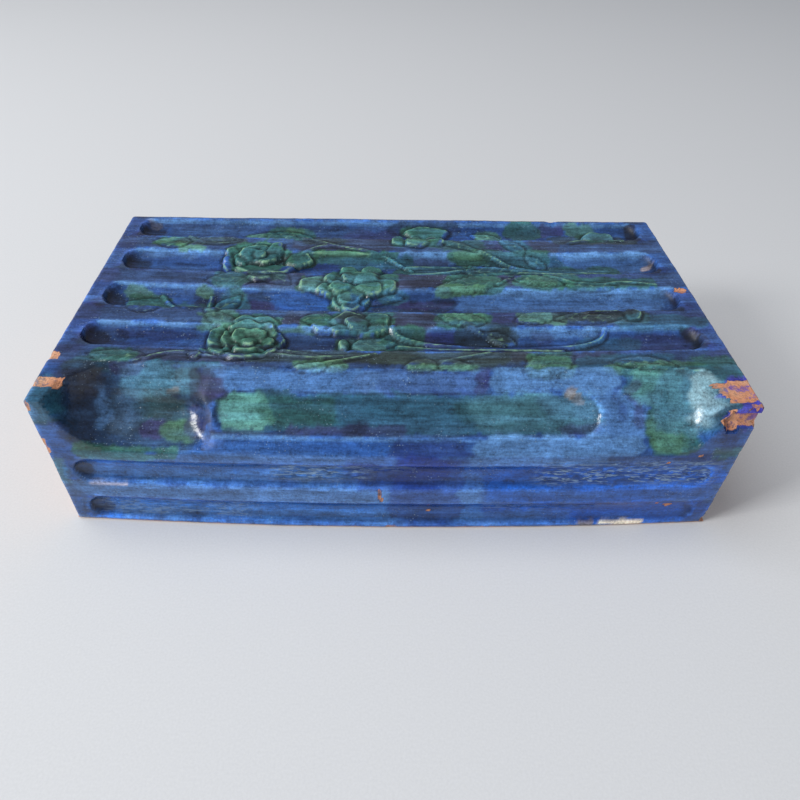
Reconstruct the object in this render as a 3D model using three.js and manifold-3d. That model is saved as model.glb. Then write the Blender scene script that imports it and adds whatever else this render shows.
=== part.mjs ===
import * as THREE from "three";
import { mergeVertices } from "three/addons/utils/BufferGeometryUtils.js";
import Module from "manifold-3d";

const wasm = await Module();
wasm.setup();

// A corner stove tile of fired and glazed clay, one hollow piece, lying on the open rim of its back.
// Lengths are in millimetres. Before it is settled the tile is square: x runs along it from its middle,
// y goes back from the narrow return face, and z goes up from the rim to the wide face.

// The faces and the corner between them.
const TILE_LONG = 420;
const TILE_DEEP = 225;
const TILE_HIGH = 107;
const CANT = 38; // how far the cant cuts back along each face
const BACK_ROUND = 5; // rounded far edge of the wide face
const END_ROUND = 2.5; // worn edges at the two ends

// The hollow back: face plates, and the rump walls behind them that stand in from the edges.
const PLATE = 14;
const RUMP_WALL = 12;
const RUMP_IN_AT_ENDS = 8;
const RUMP_IN_AT_BACK = 10;
const CANT_PLATE = 24; // clay behind the cant, deep enough for its scoops

// How the hand-pressed clay moved in drying and firing.
const FOOT_BOW = 6.5; // the return face swells forward at its foot
const ARRIS_BOW = 3.5; // and less at its top
const FACE_SAG = 3; // dish in the middle of the wide face
const SPLAY = 3.3; // the right end runs out of square, longer at the return face

// Flutes. On the wide face they lie behind one another at one pitch, each pressed by hand to its own width.
const FLUTE_PITCH = 46.4;
const FIRST_FLUTE_FAR = 79.4; // far edge of the flute nearest the cant
const FLUTE_WIDTHS = [24.5, 28, 28, 26.5];
const BACK_BORDER = 5;
const FLUTE_DEPTH = 7;
const FLUTE_MARGIN = 12; // plain clay between a flute and the end of the tile
const FLUTE_ROUND = 11;
const FLUTE_LIP = 0.09; // share of the depth that drops straight at the edge
const RETURN_FLUTES = [
  { low: 3.5, high: 24 },
  { low: 39, high: 59.5 },
];
const RETURN_FLUTE_DEPTH = 5.5;
const CANT_FLUTE = { start: -108, end: 125, low: 12, high: 36.5, deep: 2.6, round: 9 };

// The scoops that stop the cant, as stations along it: how far they reach along each face, and how
// far they hollow in below the cant. Distances run in from the end of the tile.
const LEFT_SCOOP = [
  { inset: 10, reach: 1, hollow: 0 },
  { inset: 13, reach: 13, hollow: 4 },
  { inset: 20, reach: 25, hollow: 8 },
  { inset: 30, reach: 34, hollow: 10.5 },
  { inset: 44, reach: CANT, hollow: 10.5 },
  { inset: 62, reach: CANT, hollow: 9 },
  { inset: 82, reach: CANT, hollow: 6.5 },
  { inset: 95, reach: CANT, hollow: 4.5 },
  { inset: 99, reach: CANT, hollow: 0 },
];
const RIGHT_SCOOP = [
  { inset: 58, reach: CANT, hollow: 0 },
  { inset: 46, reach: CANT, hollow: 3.5 },
  { inset: 34, reach: CANT, hollow: 8 },
  { inset: 23, reach: 34, hollow: 10 },
  { inset: 15, reach: 24, hollow: 8 },
  { inset: 9, reach: 11, hollow: 4 },
  { inset: 7, reach: 1, hollow: 0 },
];

// The moulded sprays, drawn on a field of this size that is stretched with the wide face.
const FIELD_LONG = 420;
const FIELD_DEEP = 225;
const SPRAY_SINK = 5; // how far their undersides go into the plate
const LEAF_LIFT = 3;
const BROAD_LEAF = 12;
const STEM_LIFT = 2.2;
const STEM_WIDE = 4;
const PETAL_SEAT = 5;

// Roses: middle, half sizes, and how many petals stand round the heart.
const ROSES = [
  { x: -97, y: 65, half_long: 24, half_deep: 16, petals: 6, turn: 20 },
  { x: -102, y: 163, half_long: 22, half_deep: 18, petals: 6, turn: 70 },
  { x: -23, y: 137, half_long: 19, half_deep: 15, petals: 5, turn: 15 },
  { x: -24, y: 84, half_long: 17, half_deep: 13, petals: 5, turn: 50 },
];
// Buds and loose petals: middle, half sizes, turn from the x axis in degrees, and height over the face.
const BUDS = [
  { x: 8, y: 190, half_long: 7, half_deep: 8, turn: 10, lift: 2.4 },
  { x: 21, y: 189, half_long: 7, half_deep: 8, turn: 0, lift: 2.8 },
  { x: 34, y: 189, half_long: 6, half_deep: 6, turn: 0, lift: 2.2 },
  { x: 31, y: 207, half_long: 16, half_deep: 8, turn: 5, lift: 1.6 },
  { x: -52, y: 131, half_long: 12, half_deep: 7, turn: -25, lift: 2 },
  { x: -90, y: 83, half_long: 14, half_deep: 6, turn: 5, lift: 2.2 },
  { x: -51, y: 88, half_long: 9, half_deep: 6, turn: -10, lift: 2 },
  { x: 160, y: 95, half_long: 6, half_deep: 5, turn: 0, lift: 2 },
  { x: -122, y: 46, half_long: 4, half_deep: 3, turn: 0, lift: 1.8 },
];
// Leaves: stalk end, tip and greatest width.
const LEAVES = [
  { from: [-150, 185], to: [-183, 183], wide: 15 },
  { from: [-113, 189], to: [-149, 186], wide: 9 },
  { from: [-152, 104], to: [-184, 108], wide: 17 },
  { from: [-122, 100], to: [-135, 122], wide: 9 },
  { from: [-119, 101], to: [-111, 121], wide: 8 },
  { from: [-150, 44], to: [-186, 47], wide: 13 },
  { from: [-100, 83], to: [-123, 95], wide: 10 },
  { from: [-76, 132], to: [-128, 136], wide: 20 },
  { from: [-22, 124], to: [-28, 98], wide: 20 },
  { from: [-6, 135], to: [-8, 116], wide: 13 },
  { from: [-38, 62], to: [0, 67], wide: 10 },
  { from: [-18, 78], to: [2, 90], wide: 12 },
  { from: [-75, 200], to: [-114, 199], wide: 9 },
  { from: [-60, 196], to: [-84, 208], wide: 10 },
  { from: [-62, 166], to: [-20, 171], wide: 8 },
  { from: [-38, 37], to: [-61, 38], wide: 9 },
  { from: [29, 41], to: [9, 40], wide: 10 },
  { from: [30, 41], to: [48, 40], wide: 9 },
  { from: [81, 37], to: [112, 46], wide: 16 },
  { from: [176, 39], to: [136, 43], wide: 11 },
  { from: [77, 139], to: [36, 127], wide: 15 },
  { from: [94, 138], to: [125, 132], wide: 10 },
  { from: [126, 133], to: [160, 132], wide: 8 },
  { from: [86, 88], to: [113, 97], wide: 10 },
  { from: [116, 93], to: [150, 95], wide: 9 },
  { from: [35, 97], to: [57, 81], wide: 13 },
  { from: [62, 76], to: [80, 67], wide: 9 },
  { from: [62, 155], to: [92, 153], wide: 11 },
  { from: [88, 194], to: [104, 178], wide: 8 },
  { from: [84, 200], to: [64, 206], wide: 10 },
  { from: [145, 199], to: [177, 205], wide: 10 },
  { from: [140, 188], to: [176, 190], wide: 6 },
];
// Stems, each through a few points of the field.
const STEMS = [
  [[-76, 166], [-49, 181], [-22, 178], [-2, 168], [17, 155]],
  [[-82, 197], [-60, 189], [-38, 181], [-18, 176]],
  [[36, 189], [62, 179], [79, 168], [92, 159], [114, 153], [138, 151], [166, 148]],
  [[104, 181], [110, 169], [119, 159]],
  [[14, 148], [34, 149], [52, 154], [74, 158]],
  [[50, 147], [90, 150], [138, 150]],
  [[2, 74], [26, 66], [62, 62], [98, 62], [124, 65], [135, 71], [139, 79]],
  [[50, 86], [60, 74], [72, 64]],
  [[-73, 54], [-38, 48], [-12, 51]],
  [[-58, 40], [-32, 45], [-14, 50]],
  [[28, 44], [44, 48], [60, 52]],
  [[-155, 104], [-150, 99], [-128, 99], [-104, 101]],
  [[-150, 44], [-124, 47], [-98, 46]],
  [[158, 132], [172, 133], [190, 130]],
  [[148, 95], [166, 97], [182, 95]],
  [[-150, 186], [-134, 189], [-112, 190]],
];

// Lost corners and edges: middle from the near left or right corner of the arris, half sizes and tilt.
const CHIPS = [
  { side: -1, inset: 5, y: 17, z: 108, half: [15, 6, 3], tilt: [-0.12, 0.1, -0.1] },
  { side: -1, inset: 1, y: 42, z: 107, half: [3.5, 5, 3], tilt: [0, 0, 0] },
  { side: 1, inset: 9, y: 14, z: 108, half: [15, 11, 4], tilt: [0.04, -0.04, 0] },
  { side: 1, inset: 3, y: -1, z: 96, half: [9, 4, 7], tilt: [0.1, 0.2, 0] },
  { side: 1, inset: 1, y: 0, z: 12, half: [5, 5, 10], tilt: [0, 0.25, 0] },
];

// How finely curved stretches are cut into facets, and how far a cutter runs out past a surface.
const FACE_STEPS = 8;
const SPAN_STEPS = 2;
const CLEAR = 3;

const HALF_ROOT = Math.SQRT1_2;
const HALF_LONG = TILE_LONG / 2;
const MIDDLE_Y = (TILE_DEEP - FOOT_BOW) / 2;

// Moves a point of the square tile to where the clay settled, with the origin under the middle of the tile.
function settle(spot) {
  const across = spot.x / HALF_LONG;
  const back = spot.y / TILE_DEEP;
  const up = spot.z / TILE_HIGH;
  const bow = THREE.MathUtils.lerp(FOOT_BOW, ARRIS_BOW, up) * (1 - across * across) * (1 - back);
  const splay = SPLAY * Math.max(0, across) * (1 - back);
  const sag = FACE_SAG * (1 - across * across) * 4 * back * (1 - back) * up;
  return spot.set(spot.x + splay - SPLAY / 2, spot.y - bow - MIDDLE_Y, spot.z - sag);
}

// A closed geometry as a solid, with its points moved by shape and then settled.
function solidOf(geometry, shape) {
  geometry.deleteAttribute("normal");
  geometry.deleteAttribute("uv");
  const merged = mergeVertices(geometry);
  const positions = merged.getAttribute("position");
  const spot = new THREE.Vector3();
  for (let i = 0; i < positions.count; i++) {
    spot.fromBufferAttribute(positions, i);
    settle(shape(spot));
    positions.setXYZ(i, spot.x, spot.y, spot.z);
  }
  return new wasm.Manifold(
    new wasm.Mesh({
      numProp: 3,
      vertProperties: new Float32Array(positions.array),
      triVerts: new Uint32Array(merged.index.array),
    }),
  );
}

// A slab of columns by rows, whose points are placed by column, row and whether they are on its upper side.
function slab(columns, rows, place) {
  return solidOf(new THREE.BoxGeometry(1, 1, 1, columns, rows, 1), (spot) =>
    place(Math.round((spot.x + 0.5) * columns), Math.round((spot.y + 0.5) * rows), spot.z > 0, spot),
  );
}

// A profile of y and z carried along x between two places, with edges rounded by round at its ends.
function carried(profile, start, end, round) {
  const geometry = new THREE.ExtrudeGeometry(profile, {
    depth: end - start - 2 * round,
    steps: FACE_STEPS,
    curveSegments: 3,
    bevelEnabled: round > 0,
    bevelThickness: round,
    bevelSize: round,
    bevelOffset: -round,
    bevelSegments: 2,
  });
  return solidOf(geometry, (spot) => spot.set(start + round + spot.z, spot.x, spot.y));
}

function profileThrough(points) {
  return new THREE.Shape(points.map(([y, z]) => new THREE.Vector2(y, z)));
}

// The whole tile before anything is cut from it. Its top line has a point every few steps, so that it can sag.
function blankTile() {
  const profile = new THREE.Shape();
  profile.moveTo(0, 0);
  profile.lineTo(TILE_DEEP, 0);
  profile.lineTo(TILE_DEEP, TILE_HIGH - BACK_ROUND);
  profile.absarc(TILE_DEEP - BACK_ROUND, TILE_HIGH - BACK_ROUND, BACK_ROUND, 0, Math.PI / 2);
  const steps = 4;
  for (let i = steps - 1; i >= 0; i--) {
    profile.lineTo(((TILE_DEEP - BACK_ROUND) * i) / steps, TILE_HIGH);
  }
  return carried(profile, -HALF_LONG, HALF_LONG, END_ROUND);
}

// The open hollow behind the plates, with a slope that follows the cant.
function hollow() {
  const end = HALF_LONG - RUMP_IN_AT_ENDS - RUMP_WALL;
  const far = TILE_DEEP - RUMP_IN_AT_BACK - RUMP_WALL;
  const roof = TILE_HIGH - PLATE;
  const slope = CANT + CANT_PLATE * Math.SQRT2 - PLATE;
  const profile = profileThrough([
    [PLATE, -CLEAR],
    [far, -CLEAR],
    [far, roof],
    [slope, roof],
    [PLATE, TILE_HIGH - slope],
  ]);
  return carried(profile, -end, end, 0);
}

// The steps round the outside of the rump: one along the far edge and one at each end.
function rebates() {
  const roof = TILE_HIGH - PLATE;
  const far = profileThrough([
    [TILE_DEEP - RUMP_IN_AT_BACK, -CLEAR],
    [TILE_DEEP + CLEAR, -CLEAR],
    [TILE_DEEP + CLEAR, roof],
    [TILE_DEEP - RUMP_IN_AT_BACK, roof],
  ]);
  const end = profileThrough([
    [PLATE, -CLEAR],
    [TILE_DEEP + CLEAR, -CLEAR],
    [TILE_DEEP + CLEAR, roof],
    [PLATE, roof],
  ]);
  const step = HALF_LONG - RUMP_IN_AT_ENDS;
  const outside = HALF_LONG + CLEAR;
  return [
    carried(far, -outside, outside, 0),
    carried(end, -outside, -step, 0),
    carried(end, step, outside, 0),
  ];
}

// Places on the three faces: x along the tile, v across the face towards the back or upwards, w outwards.
const FACES = {
  wide: (spot, x, v, w) => spot.set(x, v, TILE_HIGH + w),
  turned: (spot, x, v, w) => spot.set(x, -w, v),
  cant: (spot, x, v, w) => spot.set(x, (v - w) * HALF_ROOT, TILE_HIGH - CANT + (v + w) * HALF_ROOT),
};

function wideFlutes() {
  const end = HALF_LONG - FLUTE_MARGIN;
  const flutes = [];
  for (let far = FIRST_FLUTE_FAR; far < TILE_DEEP - BACK_BORDER; far += FLUTE_PITCH) {
    const width = FLUTE_WIDTHS[flutes.length % FLUTE_WIDTHS.length];
    flutes.push({ start: -end, end, low: far - width, high: far, deep: FLUTE_DEPTH, round: FLUTE_ROUND });
  }
  return flutes;
}

function returnFlutes() {
  const end = HALF_LONG - FLUTE_MARGIN;
  return RETURN_FLUTES.map((flute) => ({
    ...flute,
    start: -end,
    end,
    deep: RETURN_FLUTE_DEPTH,
    round: FLUTE_ROUND,
  }));
}

// The share of a flute's width that is left at a distance from its end, as a quarter circle.
function endShare(flute, inset) {
  const short = Math.max(0, 1 - inset / flute.round);
  return Math.sqrt(1 - short * short);
}

// A flute's depth across it, from -1 at its lower or nearer edge, where it is steep, to 1 at the other.
function fluteDepth(flute, across, share) {
  const power = across < 0 ? 3.6 : 2.3;
  const curve = 1 - Math.abs(across) ** power;
  return flute.deep * Math.sqrt(share) * (FLUTE_LIP + (1 - FLUTE_LIP) * curve);
}

// Stations along a flute from its start, closer together in its round ends.
function fluteStations(flute) {
  const length = flute.end - flute.start;
  const inEnd = [0.08, 0.4, 1].map((share) => share * flute.round);
  const run = length - 2 * flute.round;
  const count = Math.max(1, Math.round((FACE_STEPS * run) / TILE_LONG));
  const between = Array.from({ length: count - 1 }, (_, i) => flute.round + (run * (i + 1)) / count);
  return [...inEnd, ...between, ...inEnd.map((d) => length - d).reverse()];
}

function fluteCutter(flute, face) {
  const stations = fluteStations(flute);
  const rows = 5;
  const middle = (flute.low + flute.high) / 2;
  return slab(stations.length - 1, rows, (column, row, upper, spot) => {
    const station = stations[column];
    const share = endShare(flute, Math.min(station, flute.end - flute.start - station));
    const across = -Math.cos((Math.PI * row) / rows);
    const w = upper ? CLEAR : -fluteDepth(flute, across, share);
    const v = middle + ((flute.high - flute.low) / 2) * share * across;
    return face(spot, flute.start + station, v, w);
  });
}

// The cant and its two scoops as one cutter, whose floor is a chord across the corner, hollowed in.
function cantCutter() {
  const left = LEFT_SCOOP.map(({ inset, ...rest }) => ({ x: inset - HALF_LONG, ...rest }));
  const right = RIGHT_SCOOP.map(({ inset, ...rest }) => ({ x: HALF_LONG - inset, ...rest }));
  const start = left[left.length - 1].x;
  const run = right[0].x - start;
  const count = Math.max(1, Math.round((FACE_STEPS * run) / TILE_LONG));
  const middle = Array.from({ length: count - 1 }, (_, i) => ({
    x: start + (run * (i + 1)) / count,
    reach: CANT,
    hollow: 0,
  }));
  const stations = [...left, ...middle, ...right];
  const rows = 6;
  const overrun = 0.04; // the floor runs out past both faces by this share of its width
  return slab(stations.length - 1, rows, (column, row, upper, spot) => {
    const { x, reach, hollow: deep } = stations[column];
    const share = -overrun + (1 + 2 * overrun) * (row / rows);
    const inside = THREE.MathUtils.clamp(share, 0, 1);
    const w = upper ? reach * HALF_ROOT + CLEAR : -deep * Math.sin(Math.PI * inside) ** 0.8;
    return spot.set(x, reach * share - w * HALF_ROOT, TILE_HIGH - reach * (1 - share) + w * HALF_ROOT);
  });
}

const WIDE_FLUTES = wideFlutes();

// Height of the fluted and canted ground over the plane of the wide face.
function ground(x, y) {
  if (y < CANT) return y - CANT;
  const drops = WIDE_FLUTES.map((flute) => {
    const share = endShare(flute, Math.min(x - flute.start, flute.end - x));
    const across = (2 * y - flute.low - flute.high) / (flute.high - flute.low) / share;
    return Math.abs(across) < 1 ? fluteDepth(flute, across, share) : 0;
  });
  return -Math.max(...drops);
}

function field([x, y]) {
  return new THREE.Vector2((x * TILE_LONG) / FIELD_LONG, (y * TILE_DEEP) / FIELD_DEEP);
}

// Sets a point of a spray over the ground by lift, or under it on the spray's lower side.
function drape(spot, plan, lift, upper) {
  const level = ground(plan.x, plan.y) + (upper ? lift : -SPRAY_SINK);
  return spot.set(plan.x, plan.y, TILE_HIGH + level);
}

// A leaf: widest towards its stalk. A broad one has two swelling halves and a valley along the midrib,
// a narrow one a single ridge. Its edge runs in just under the ground.
function leaf({ from, to, wide }) {
  const columns = 4;
  const swell = wide < BROAD_LEAF ? [-0.2, 1, -0.2] : [-0.2, 1, 0.65, 1, -0.2];
  const rows = swell.length - 1;
  const stalk = field(from);
  const along = field(to).sub(stalk);
  const aside = new THREE.Vector2(-along.y, along.x).normalize();
  return slab(columns, rows, (column, row, upper, spot) => {
    const share = column / columns;
    const full = Math.sin(Math.PI * share ** 0.8) ** 0.8;
    const across = (2 * row) / rows - 1;
    const half = (wide / 2) * Math.max(0.12, full);
    const plan = stalk.clone().addScaledVector(along, share).addScaledVector(aside, half * across);
    return drape(spot, plan, LEAF_LIFT * (swell[row] * full - 0.1), upper);
  });
}

// A stem: a low ridge along a smooth curve, tapering to its tip.
function stem(points) {
  const curve = new THREE.SplineCurve(points.map(field));
  const columns = SPAN_STEPS * (points.length - 1);
  return slab(columns, 2, (column, row, upper, spot) => {
    const share = column / columns;
    const tangent = curve.getTangent(share);
    const taper = 1 - 0.45 * share;
    const plan = curve.getPoint(share);
    plan.addScaledVector(new THREE.Vector2(-tangent.y, tangent.x), (STEM_WIDE / 2) * taper * (row - 1));
    return drape(spot, plan, row === 1 ? STEM_LIFT * taper : -0.3, upper);
  });
}

// A round petal or bud: a flattened ball seated in the plate, with its top at lift over the wide face.
function petal({ x, y, half_long, half_deep, turn, lift }) {
  const middle = field([x, y]);
  const angle = THREE.MathUtils.degToRad(turn);
  return solidOf(new THREE.SphereGeometry(1, 8, 4).rotateX(Math.PI / 2), (spot) => {
    spot.set(spot.x * half_long, spot.y * half_deep, spot.z * (PETAL_SEAT + lift));
    spot.applyAxisAngle(new THREE.Vector3(0, 0, 1), angle);
    return spot.add(new THREE.Vector3(middle.x, middle.y, TILE_HIGH - PETAL_SEAT));
  });
}

// A rose: a low mound, a ring of outer petals on it, three inner ones between them, and a heart.
function rose({ x, y, half_long, half_deep, petals, turn }) {
  const rings = [
    { count: 1, out: 0, size: 0.85, lift: 0.4 },
    { count: petals, out: 0.6, size: 0.44, lift: 1.6 },
    { count: 3, out: 0.3, size: 0.36, lift: 2.8 },
    { count: 1, out: 0, size: 0.24, lift: 3.6 },
  ];
  return rings.flatMap(({ count, out, size, lift }, ring) =>
    Array.from({ length: count }, (_, i) => {
      const angle = THREE.MathUtils.degToRad(turn + ring * 25 + (360 * i) / count);
      return petal({
        x: x + Math.cos(angle) * out * half_long,
        y: y + Math.sin(angle) * out * half_deep,
        half_long: size * half_long,
        half_deep: size * half_deep * 1.1,
        turn: 0,
        lift,
      });
    }),
  );
}

// A break: a blunt many-sided lump that takes a corner or a stretch of edge away.
function chip({ side, inset, y, z, half, tilt }) {
  const turn = new THREE.Euler(tilt[0], tilt[1] * side, tilt[2] * side);
  return solidOf(new THREE.DodecahedronGeometry(1), (spot) => {
    spot.set(spot.x * half[0], spot.y * half[1], spot.z * half[2]).applyEuler(turn);
    return spot.add(new THREE.Vector3(side * (HALF_LONG - inset), y, z));
  });
}

function carvedTile() {
  const cutters = [
    hollow(),
    ...rebates(),
    ...WIDE_FLUTES.map((flute) => fluteCutter(flute, FACES.wide)),
    ...returnFlutes().map((flute) => fluteCutter(flute, FACES.turned)),
    cantCutter(),
    fluteCutter(CANT_FLUTE, FACES.cant),
  ];
  const sprays = [...LEAVES.map(leaf), ...STEMS.map(stem), ...BUDS.map(petal), ...ROSES.flatMap(rose)];
  const fluted = cutters.reduce((tile, cutter) => tile.subtract(cutter), blankTile());
  const carved = sprays.reduce((tile, spray) => tile.add(spray), fluted);
  return CHIPS.map(chip).reduce((tile, lump) => tile.subtract(lump), carved);
}

function meshOf(name, solid, material) {
  const { numProp, vertProperties, triVerts } = solid.getMesh();
  const positions = new Float32Array((vertProperties.length / numProp) * 3);
  for (let i = 0; i < positions.length / 3; i++) {
    positions.set(vertProperties.subarray(i * numProp, i * numProp + 3), i * 3);
  }
  const geometry = new THREE.BufferGeometry();
  geometry.setAttribute("position", new THREE.BufferAttribute(positions, 3));
  geometry.setIndex(new THREE.BufferAttribute(new Uint32Array(triVerts), 1));
  const shaded = geometry.toNonIndexed();
  shaded.computeVertexNormals();
  const mesh = new THREE.Mesh(shaded, material);
  mesh.name = name;
  return mesh;
}

const blueGlaze = new THREE.MeshStandardMaterial({ color: 0x1c3c86, roughness: 0.22, metalness: 0 });

const tile = new THREE.Group();
tile.add(meshOf("stove_tile", carvedTile(), blueGlaze));

export default tile;
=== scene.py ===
"""A fluted corner stove tile in blue, green and purple glaze, lying on its open back on a pale floor.

Lengths are in millimetres until a mesh is made. The tile is first drawn square: x runs along it from its
middle, y goes back from the narrow return face and z goes up to the wide face. Then it is settled, as the
clay did in drying and firing, and that also puts the origin under the middle of the tile.
"""

from __future__ import annotations

import logging
from dataclasses import dataclass, field
from enum import Enum

import bpy
import numpy as np
from mathutils import Matrix, Vector

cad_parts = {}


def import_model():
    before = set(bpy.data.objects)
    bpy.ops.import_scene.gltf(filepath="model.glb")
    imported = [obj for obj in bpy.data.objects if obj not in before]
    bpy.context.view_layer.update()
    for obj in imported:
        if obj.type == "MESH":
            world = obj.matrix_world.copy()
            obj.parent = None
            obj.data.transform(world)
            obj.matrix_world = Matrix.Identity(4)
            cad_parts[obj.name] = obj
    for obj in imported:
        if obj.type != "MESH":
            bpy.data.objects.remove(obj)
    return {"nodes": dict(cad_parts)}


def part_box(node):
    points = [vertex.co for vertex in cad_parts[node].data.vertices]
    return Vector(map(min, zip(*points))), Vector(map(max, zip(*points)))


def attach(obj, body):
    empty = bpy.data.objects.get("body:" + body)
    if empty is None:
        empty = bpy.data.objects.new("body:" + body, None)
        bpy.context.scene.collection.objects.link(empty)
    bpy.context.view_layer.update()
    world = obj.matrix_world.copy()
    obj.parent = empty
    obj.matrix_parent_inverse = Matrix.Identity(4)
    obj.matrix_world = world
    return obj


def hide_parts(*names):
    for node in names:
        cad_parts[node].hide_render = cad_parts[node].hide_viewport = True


Array = np.ndarray
Socket = bpy.types.NodeSocket
Input = Socket | float | tuple[float, ...]
MM = 0.001
HALF_ROOT = 0.5**0.5
NODE = "stove_tile"
RANDOM_GRID = 512

log = logging.getLogger(NODE)


def smooth_step(low: float, high: float, value: Array) -> Array:
    """Rises from 0 at low to 1 at high as 3t^2 - 2t^3; high may be under low, and then it falls."""
    t = np.clip((value - low) / (high - low), 0.0, 1.0)
    return t * t * (3.0 - 2.0 * t)


def smooth_max(a: Array, b: Array, blend: float) -> Array:
    """The larger of a and b, with the crease between them rounded over about blend."""
    return 0.5 * (a + b + np.sqrt((a - b) ** 2 + blend * blend))


def linear(red: int, green: int, blue: int) -> tuple[float, float, float]:
    """A display colour with channels of 0 to 255 as linear light."""
    channels = (c / 255.0 for c in (red, green, blue))
    return tuple(c / 12.92 if c <= 0.04045 else ((c + 0.055) / 1.055) ** 2.4 for c in channels)


def mottle(x: Array, y: Array, cell_x: float, cell_y: float, seed: int) -> Array:
    """Smooth random patches from -1 to 1.

    Random values sit on a grid of cell_x by cell_y, and each point mixes the four round it by the smooth
    step of its place between them.

    Args:
        x: places along, in mm.
        y: places across, in mm.
        cell_x: size of a patch along x.
        cell_y: size of a patch along y.
        seed: which random grid is used.

    Returns:
        An array of the shape of x and y.
    """
    grid = np.random.default_rng(seed).uniform(-1.0, 1.0, (RANDOM_GRID, RANDOM_GRID))
    grid_x = x / cell_x + 100.0
    grid_y = y / cell_y + 100.0
    left = np.floor(grid_x).astype(int)
    near = np.floor(grid_y).astype(int)
    share_x = smooth_step(0.0, 1.0, grid_x - left)
    share_y = smooth_step(0.0, 1.0, grid_y - near)
    columns = (left % RANDOM_GRID, (left + 1) % RANDOM_GRID)
    rows = [
        grid[columns[0], row] * (1 - share_x) + grid[columns[1], row] * share_x
        for row in (near % RANDOM_GRID, (near + 1) % RANDOM_GRID)
    ]
    return rows[0] * (1 - share_y) + rows[1] * share_y


def softened(heights: Array, times: int = 1) -> Array:
    """Heights with each point averaged with its neighbours as 1, 2, 1 both ways, a number of times."""
    for _ in range(times):
        wide = np.pad(heights, 1, mode="edge")
        heights = 0.25 * (wide[:-2, 1:-1] + 2 * wide[1:-1, 1:-1] + wide[2:, 1:-1])
        wide = np.pad(heights, 1, mode="edge")
        heights = 0.25 * (wide[1:-1, :-2] + 2 * wide[1:-1, 1:-1] + wide[1:-1, 2:])
    return heights


def run_of(rows: Array) -> slice:
    """The first to the last of the marked rows, which lie next to one another."""
    marked = np.flatnonzero(rows)
    return slice(marked[0], marked[-1] + 1)


def placed(name: str, data: bpy.types.ID) -> bpy.types.Object:
    """A new object in the scene that shows the given mesh, light or camera."""
    thing = bpy.data.objects.new(name, data)
    bpy.context.scene.collection.objects.link(thing)
    return thing


class Face(Enum):
    """The three fronts of the tile."""

    WIDE = "wide"
    CANT = "cant"
    TURNED = "turned"


@dataclass(frozen=True)
class TileForm:
    """Sizes of the square tile, and how the clay settled."""

    long: float
    deep: float
    high: float = 107.0
    cant: float = 38.0
    back_round: float = 5.0
    end_round: float = 2.5
    foot_round: float = 1.5
    plate: float = 14.0
    rump_wall: float = 12.0
    rump_in_at_ends: float = 8.0
    rump_in_at_back: float = 10.0
    cant_plate: float = 24.0
    foot_bow: float = 6.5
    arris_bow: float = 3.5
    sag: float = 3.0
    splay: float = 3.3

    @classmethod
    def of_frame(cls) -> TileForm:
        """The form whose length and depth fill the CAD node's box."""
        low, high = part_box(NODE)
        long = round((high[0] - low[0]) / MM - cls.splay)
        deep = round((high[1] - low[1]) / MM - cls.foot_bow)
        return cls(long=long, deep=deep)

    @property
    def half_long(self) -> float:
        """Distance from the middle to either end of the square tile."""
        return self.long / 2

    @property
    def cant_width(self) -> float:
        """Width of the cant down its slope."""
        return self.cant / HALF_ROOT

    @property
    def middle_y(self) -> float:
        """Depth of the middle of the settled tile."""
        return (self.deep - self.foot_bow) / 2

    def settle(self, x: Array, y: Array, z: Array) -> Array:
        """Moves points of the square tile to where the clay settled.

        The return face swells forward by a parabola along x, more at its foot than at its top, fading to
        nothing at the far edge. The wide face dishes by a parabola both ways, and the right end splays.

        Args:
            x, y, z: places in the square tile.

        Returns:
            Settled places, with x, y and z along the last axis.
        """
        across = x / self.half_long
        back = y / self.deep
        up = z / self.high
        bow = (self.foot_bow + (self.arris_bow - self.foot_bow) * up) * (1 - across**2) * (1 - back)
        splay = self.splay * np.maximum(0.0, across) * (1 - back)
        sag = self.sag * (1 - across**2) * 4 * back * (1 - back) * up
        return np.stack([x + splay - self.splay / 2, y - bow - self.middle_y, z - sag], axis=-1)


@dataclass(frozen=True)
class Flute:
    """A round-ended groove, from low to high across its face and from start to end along it."""

    low: float
    high: float
    start: float
    end: float
    deep: float
    round: float
    fade: float = 0.0
    lip: float = 0.09

    FADE_REACH = 130.0
    LOW_POWER = 3.6
    HIGH_POWER = 2.3

    def place_across(self, v: Array) -> Array:
        """Place across the groove, from -1 at its low edge to 1 at its high one."""
        return (2 * v - self.low - self.high) / (self.high - self.low)

    def depth(self, x: Array, v: Array) -> Array:
        """Depth of the groove, 0 outside it.

        Across, it is a lip plus 1 - |t|^p, with a larger power and so a steeper side at the low edge. Its
        half width shrinks by a quarter circle in its ends, and its depth with it. Over FADE_REACH at its
        right end it loses the share fade.

        Args:
            x: places along the tile.
            v: places across the face.

        Returns:
            Depth in mm.
        """
        inset = np.minimum(x - self.start, self.end - x)
        short = np.clip(1 - inset / self.round, 0.0, 1.0)
        share = np.sqrt(np.maximum(1 - short * short, 1e-4))
        t = self.place_across(v) / share
        power = np.where(t < 0, self.LOW_POWER, self.HIGH_POWER)
        inside = smooth_step(1.05, 0.97, np.abs(t)) * (inset > 0)
        curve = 1 - np.minimum(np.abs(t), 1.0) ** power
        deep = self.deep * (1 - self.fade * smooth_step(self.end - self.FADE_REACH, self.end, x))
        return deep * np.sqrt(share) * inside * (self.lip + (1 - self.lip) * curve)

    def dip(self, x: Array, v: Array) -> Array:
        """A softened depth, 1 - t^2 across, that tells how far the groove's floor lies back."""
        inside = (x > self.start) & (x < self.end)
        return self.deep * inside * np.maximum(0.0, 1 - self.place_across(v) ** 2)


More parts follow.
